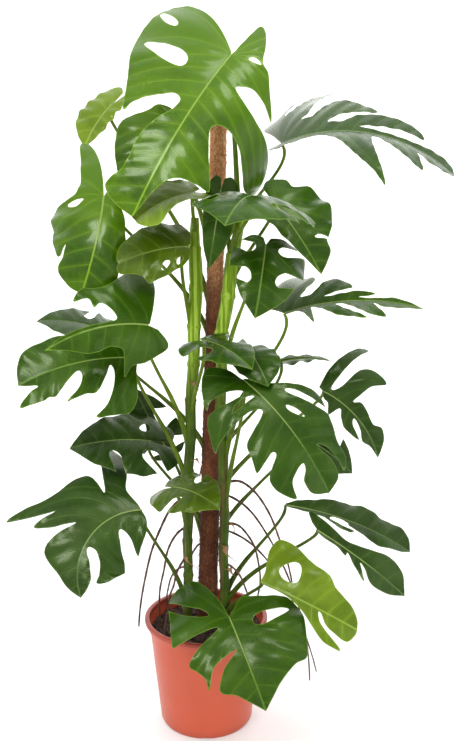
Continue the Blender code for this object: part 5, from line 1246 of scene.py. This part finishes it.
def soilLook(name, dark, light, rough):
    look = Look(name, Roughness=rough)
    grain = look.noise(260.0, 5.0, 0.65)
    cloud = look.noise(45.0, 3.0)
    base = look.layers(look.mix(cloud.ramp(0.35, 0.65), dark, light),
                       (grain.ramp(0.52, 0.66) * 0.5, (0.14, 0.085, 0.055)),
                       (grain.ramp(0.42, 0.30) * 0.6, (0.008, 0.005, 0.004)))
    return look.feed(Base_Color=base, Roughness=0.75 + 0.2 * grain, Normal=look.bump(grain, 0.0015, 0.9))


soilLooks = [soilLook("soil", (0.026, 0.013, 0.009), (0.055, 0.030, 0.020), 0.95),
             soilLook("soil crumb", (0.032, 0.017, 0.012), (0.085, 0.046, 0.030), 0.9),
             soilLook("bark chip", (0.060, 0.026, 0.015), (0.150, 0.078, 0.045), 0.85)]
for part in (ground, litter):
    wear(part, soilLooks)
joinInto(ground, [litter])
addPiece(ground, "potting_soil", ["soil"], soilLooks)


print("pot")
pot = {
    "sides": 128, "smooth": 38,
    # outer and inner profile from the foot up, in tenths of a millimetre: radius, height
    "profile": [(875, 0), (890, 4), (906, 30), (920, 60), (925, 115), (1020, 1000), (1110, 1890), (1115, 1947),
                (1126, 1958), (1148, 1964), (1153, 1975), (1156, 2070), (1160, 2082), (1205, 2088), (1218, 2098),
                (1220, 2115), (1220, 2145), (1216, 2160), (1205, 2169), (1175, 2170), (1142, 2168), (1132, 2160),
                (1128, 2140), (1124, 2085), (1120, 1990), (1093, 1945), (998, 1000), (898, 90), (885, 50), (860, 40)],
    "notches": 6, "notchSize": (0.020, 0.018, 0.0048), "notchRing": 0.092,
    "drains": 6, "drainRadius": 0.005, "drainDepth": 0.016, "drainRing": 0.058,
}
profile = [(radius / 10000, height / 10000) for radius, height in pot["profile"]]
radius, height = profile[0]
shell = begin(bpy.ops.mesh.primitive_circle_add, vertices=pot["sides"], radius=radius, fill_type="NGON",
              location=(0, 0, height))
editing(True)
bpy.context.tool_settings.mesh_select_mode = (False, True, False)
bpy.ops.mesh.select_all(action="SELECT")
bpy.ops.mesh.duplicate()
bpy.ops.mesh.delete(type="ONLY_FACE")
choose(shell, "edges", lambda edge: not edge.link_faces)
for radiusNext, heightNext in profile[1:]:
    bpy.ops.mesh.extrude_region_move(TRANSFORM_OT_translate={"value": (0, 0, heightNext - height)})
    grow = radiusNext / radius
    bpy.ops.transform.resize(value=(grow, grow, 1), center_override=(0, 0, heightNext))
    radius, height = radiusNext, heightNext
bpy.ops.mesh.edge_face_add()
bpy.ops.mesh.select_all(action="SELECT")
bpy.ops.mesh.remove_doubles(threshold=0.00001)
bpy.ops.mesh.normals_make_consistent(inside=False)
editing(False)


def ringPlaces(ring, count, start, height):
    # turns and places of what repeats round the pot's foot
    turns = [2 * math.pi * (k + start) / count for k in range(count)]
    return [(turn, (ring * math.cos(turn), ring * math.sin(turn), height)) for turn in turns]


cutters = []
for turn, place in ringPlaces(pot["notchRing"], pot["notches"], 0.5, 0):
    deselect()
    bpy.ops.mesh.primitive_cube_add(size=1, rotation=(0, 0, turn), scale=pot["notchSize"], location=place)
    cutters.append(bpy.context.object)
for turn, place in ringPlaces(pot["drainRing"], pot["drains"], 0, 0.002):
    deselect()
    bpy.ops.mesh.primitive_cylinder_add(vertices=32, radius=pot["drainRadius"], depth=pot["drainDepth"],
                                        location=place)
    cutters.append(bpy.context.object)
for cutter in cutters:
    shaped(shell, "BOOLEAN", object=cutter, solver="EXACT")
    bpy.data.objects.remove(cutter)
smoothed(shell, pot["smooth"])


def potLook():
    look = Look("terracotta plastic", Specular_IOR_Level=0.4)
    cloud = look.noise(7.0, 4.0)
    grain = look.noise(700.0, 2.0)
    rings = look.noise(1.0, 2.0, 0.4, look.stretch((6, 6, 260)))
    height = look.axis(2)
    scuff = look.noise(34.0, 5.0, 0.7)
    base = look.layers(look.mix(cloud.ramp(0.3, 0.7), (0.470, 0.073, 0.031), (0.535, 0.086, 0.038)),
                       (height.ramp(0.2072, 0.2084) * 0.75, (0.300, 0.034, 0.016)),
                       (scuff.ramp(0.60, 0.72) * 0.14, (0.58, 0.21, 0.14)),
                       (height.ramp(0.020, 0.0) * 0.35, (0.30, 0.055, 0.028)))
    return look.feed(Base_Color=base, Roughness=0.24 + 0.10 * cloud + 0.12 * scuff,
                     Normal=look.bump(rings + 0.5 * grain, 0.0002, 0.4))


addPiece(shell, "nursery_pot", ["pot"], [potLook()])


print("sizes")
sizes = {"cad": cadBox, "visual": [list(corner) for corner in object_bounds()]}
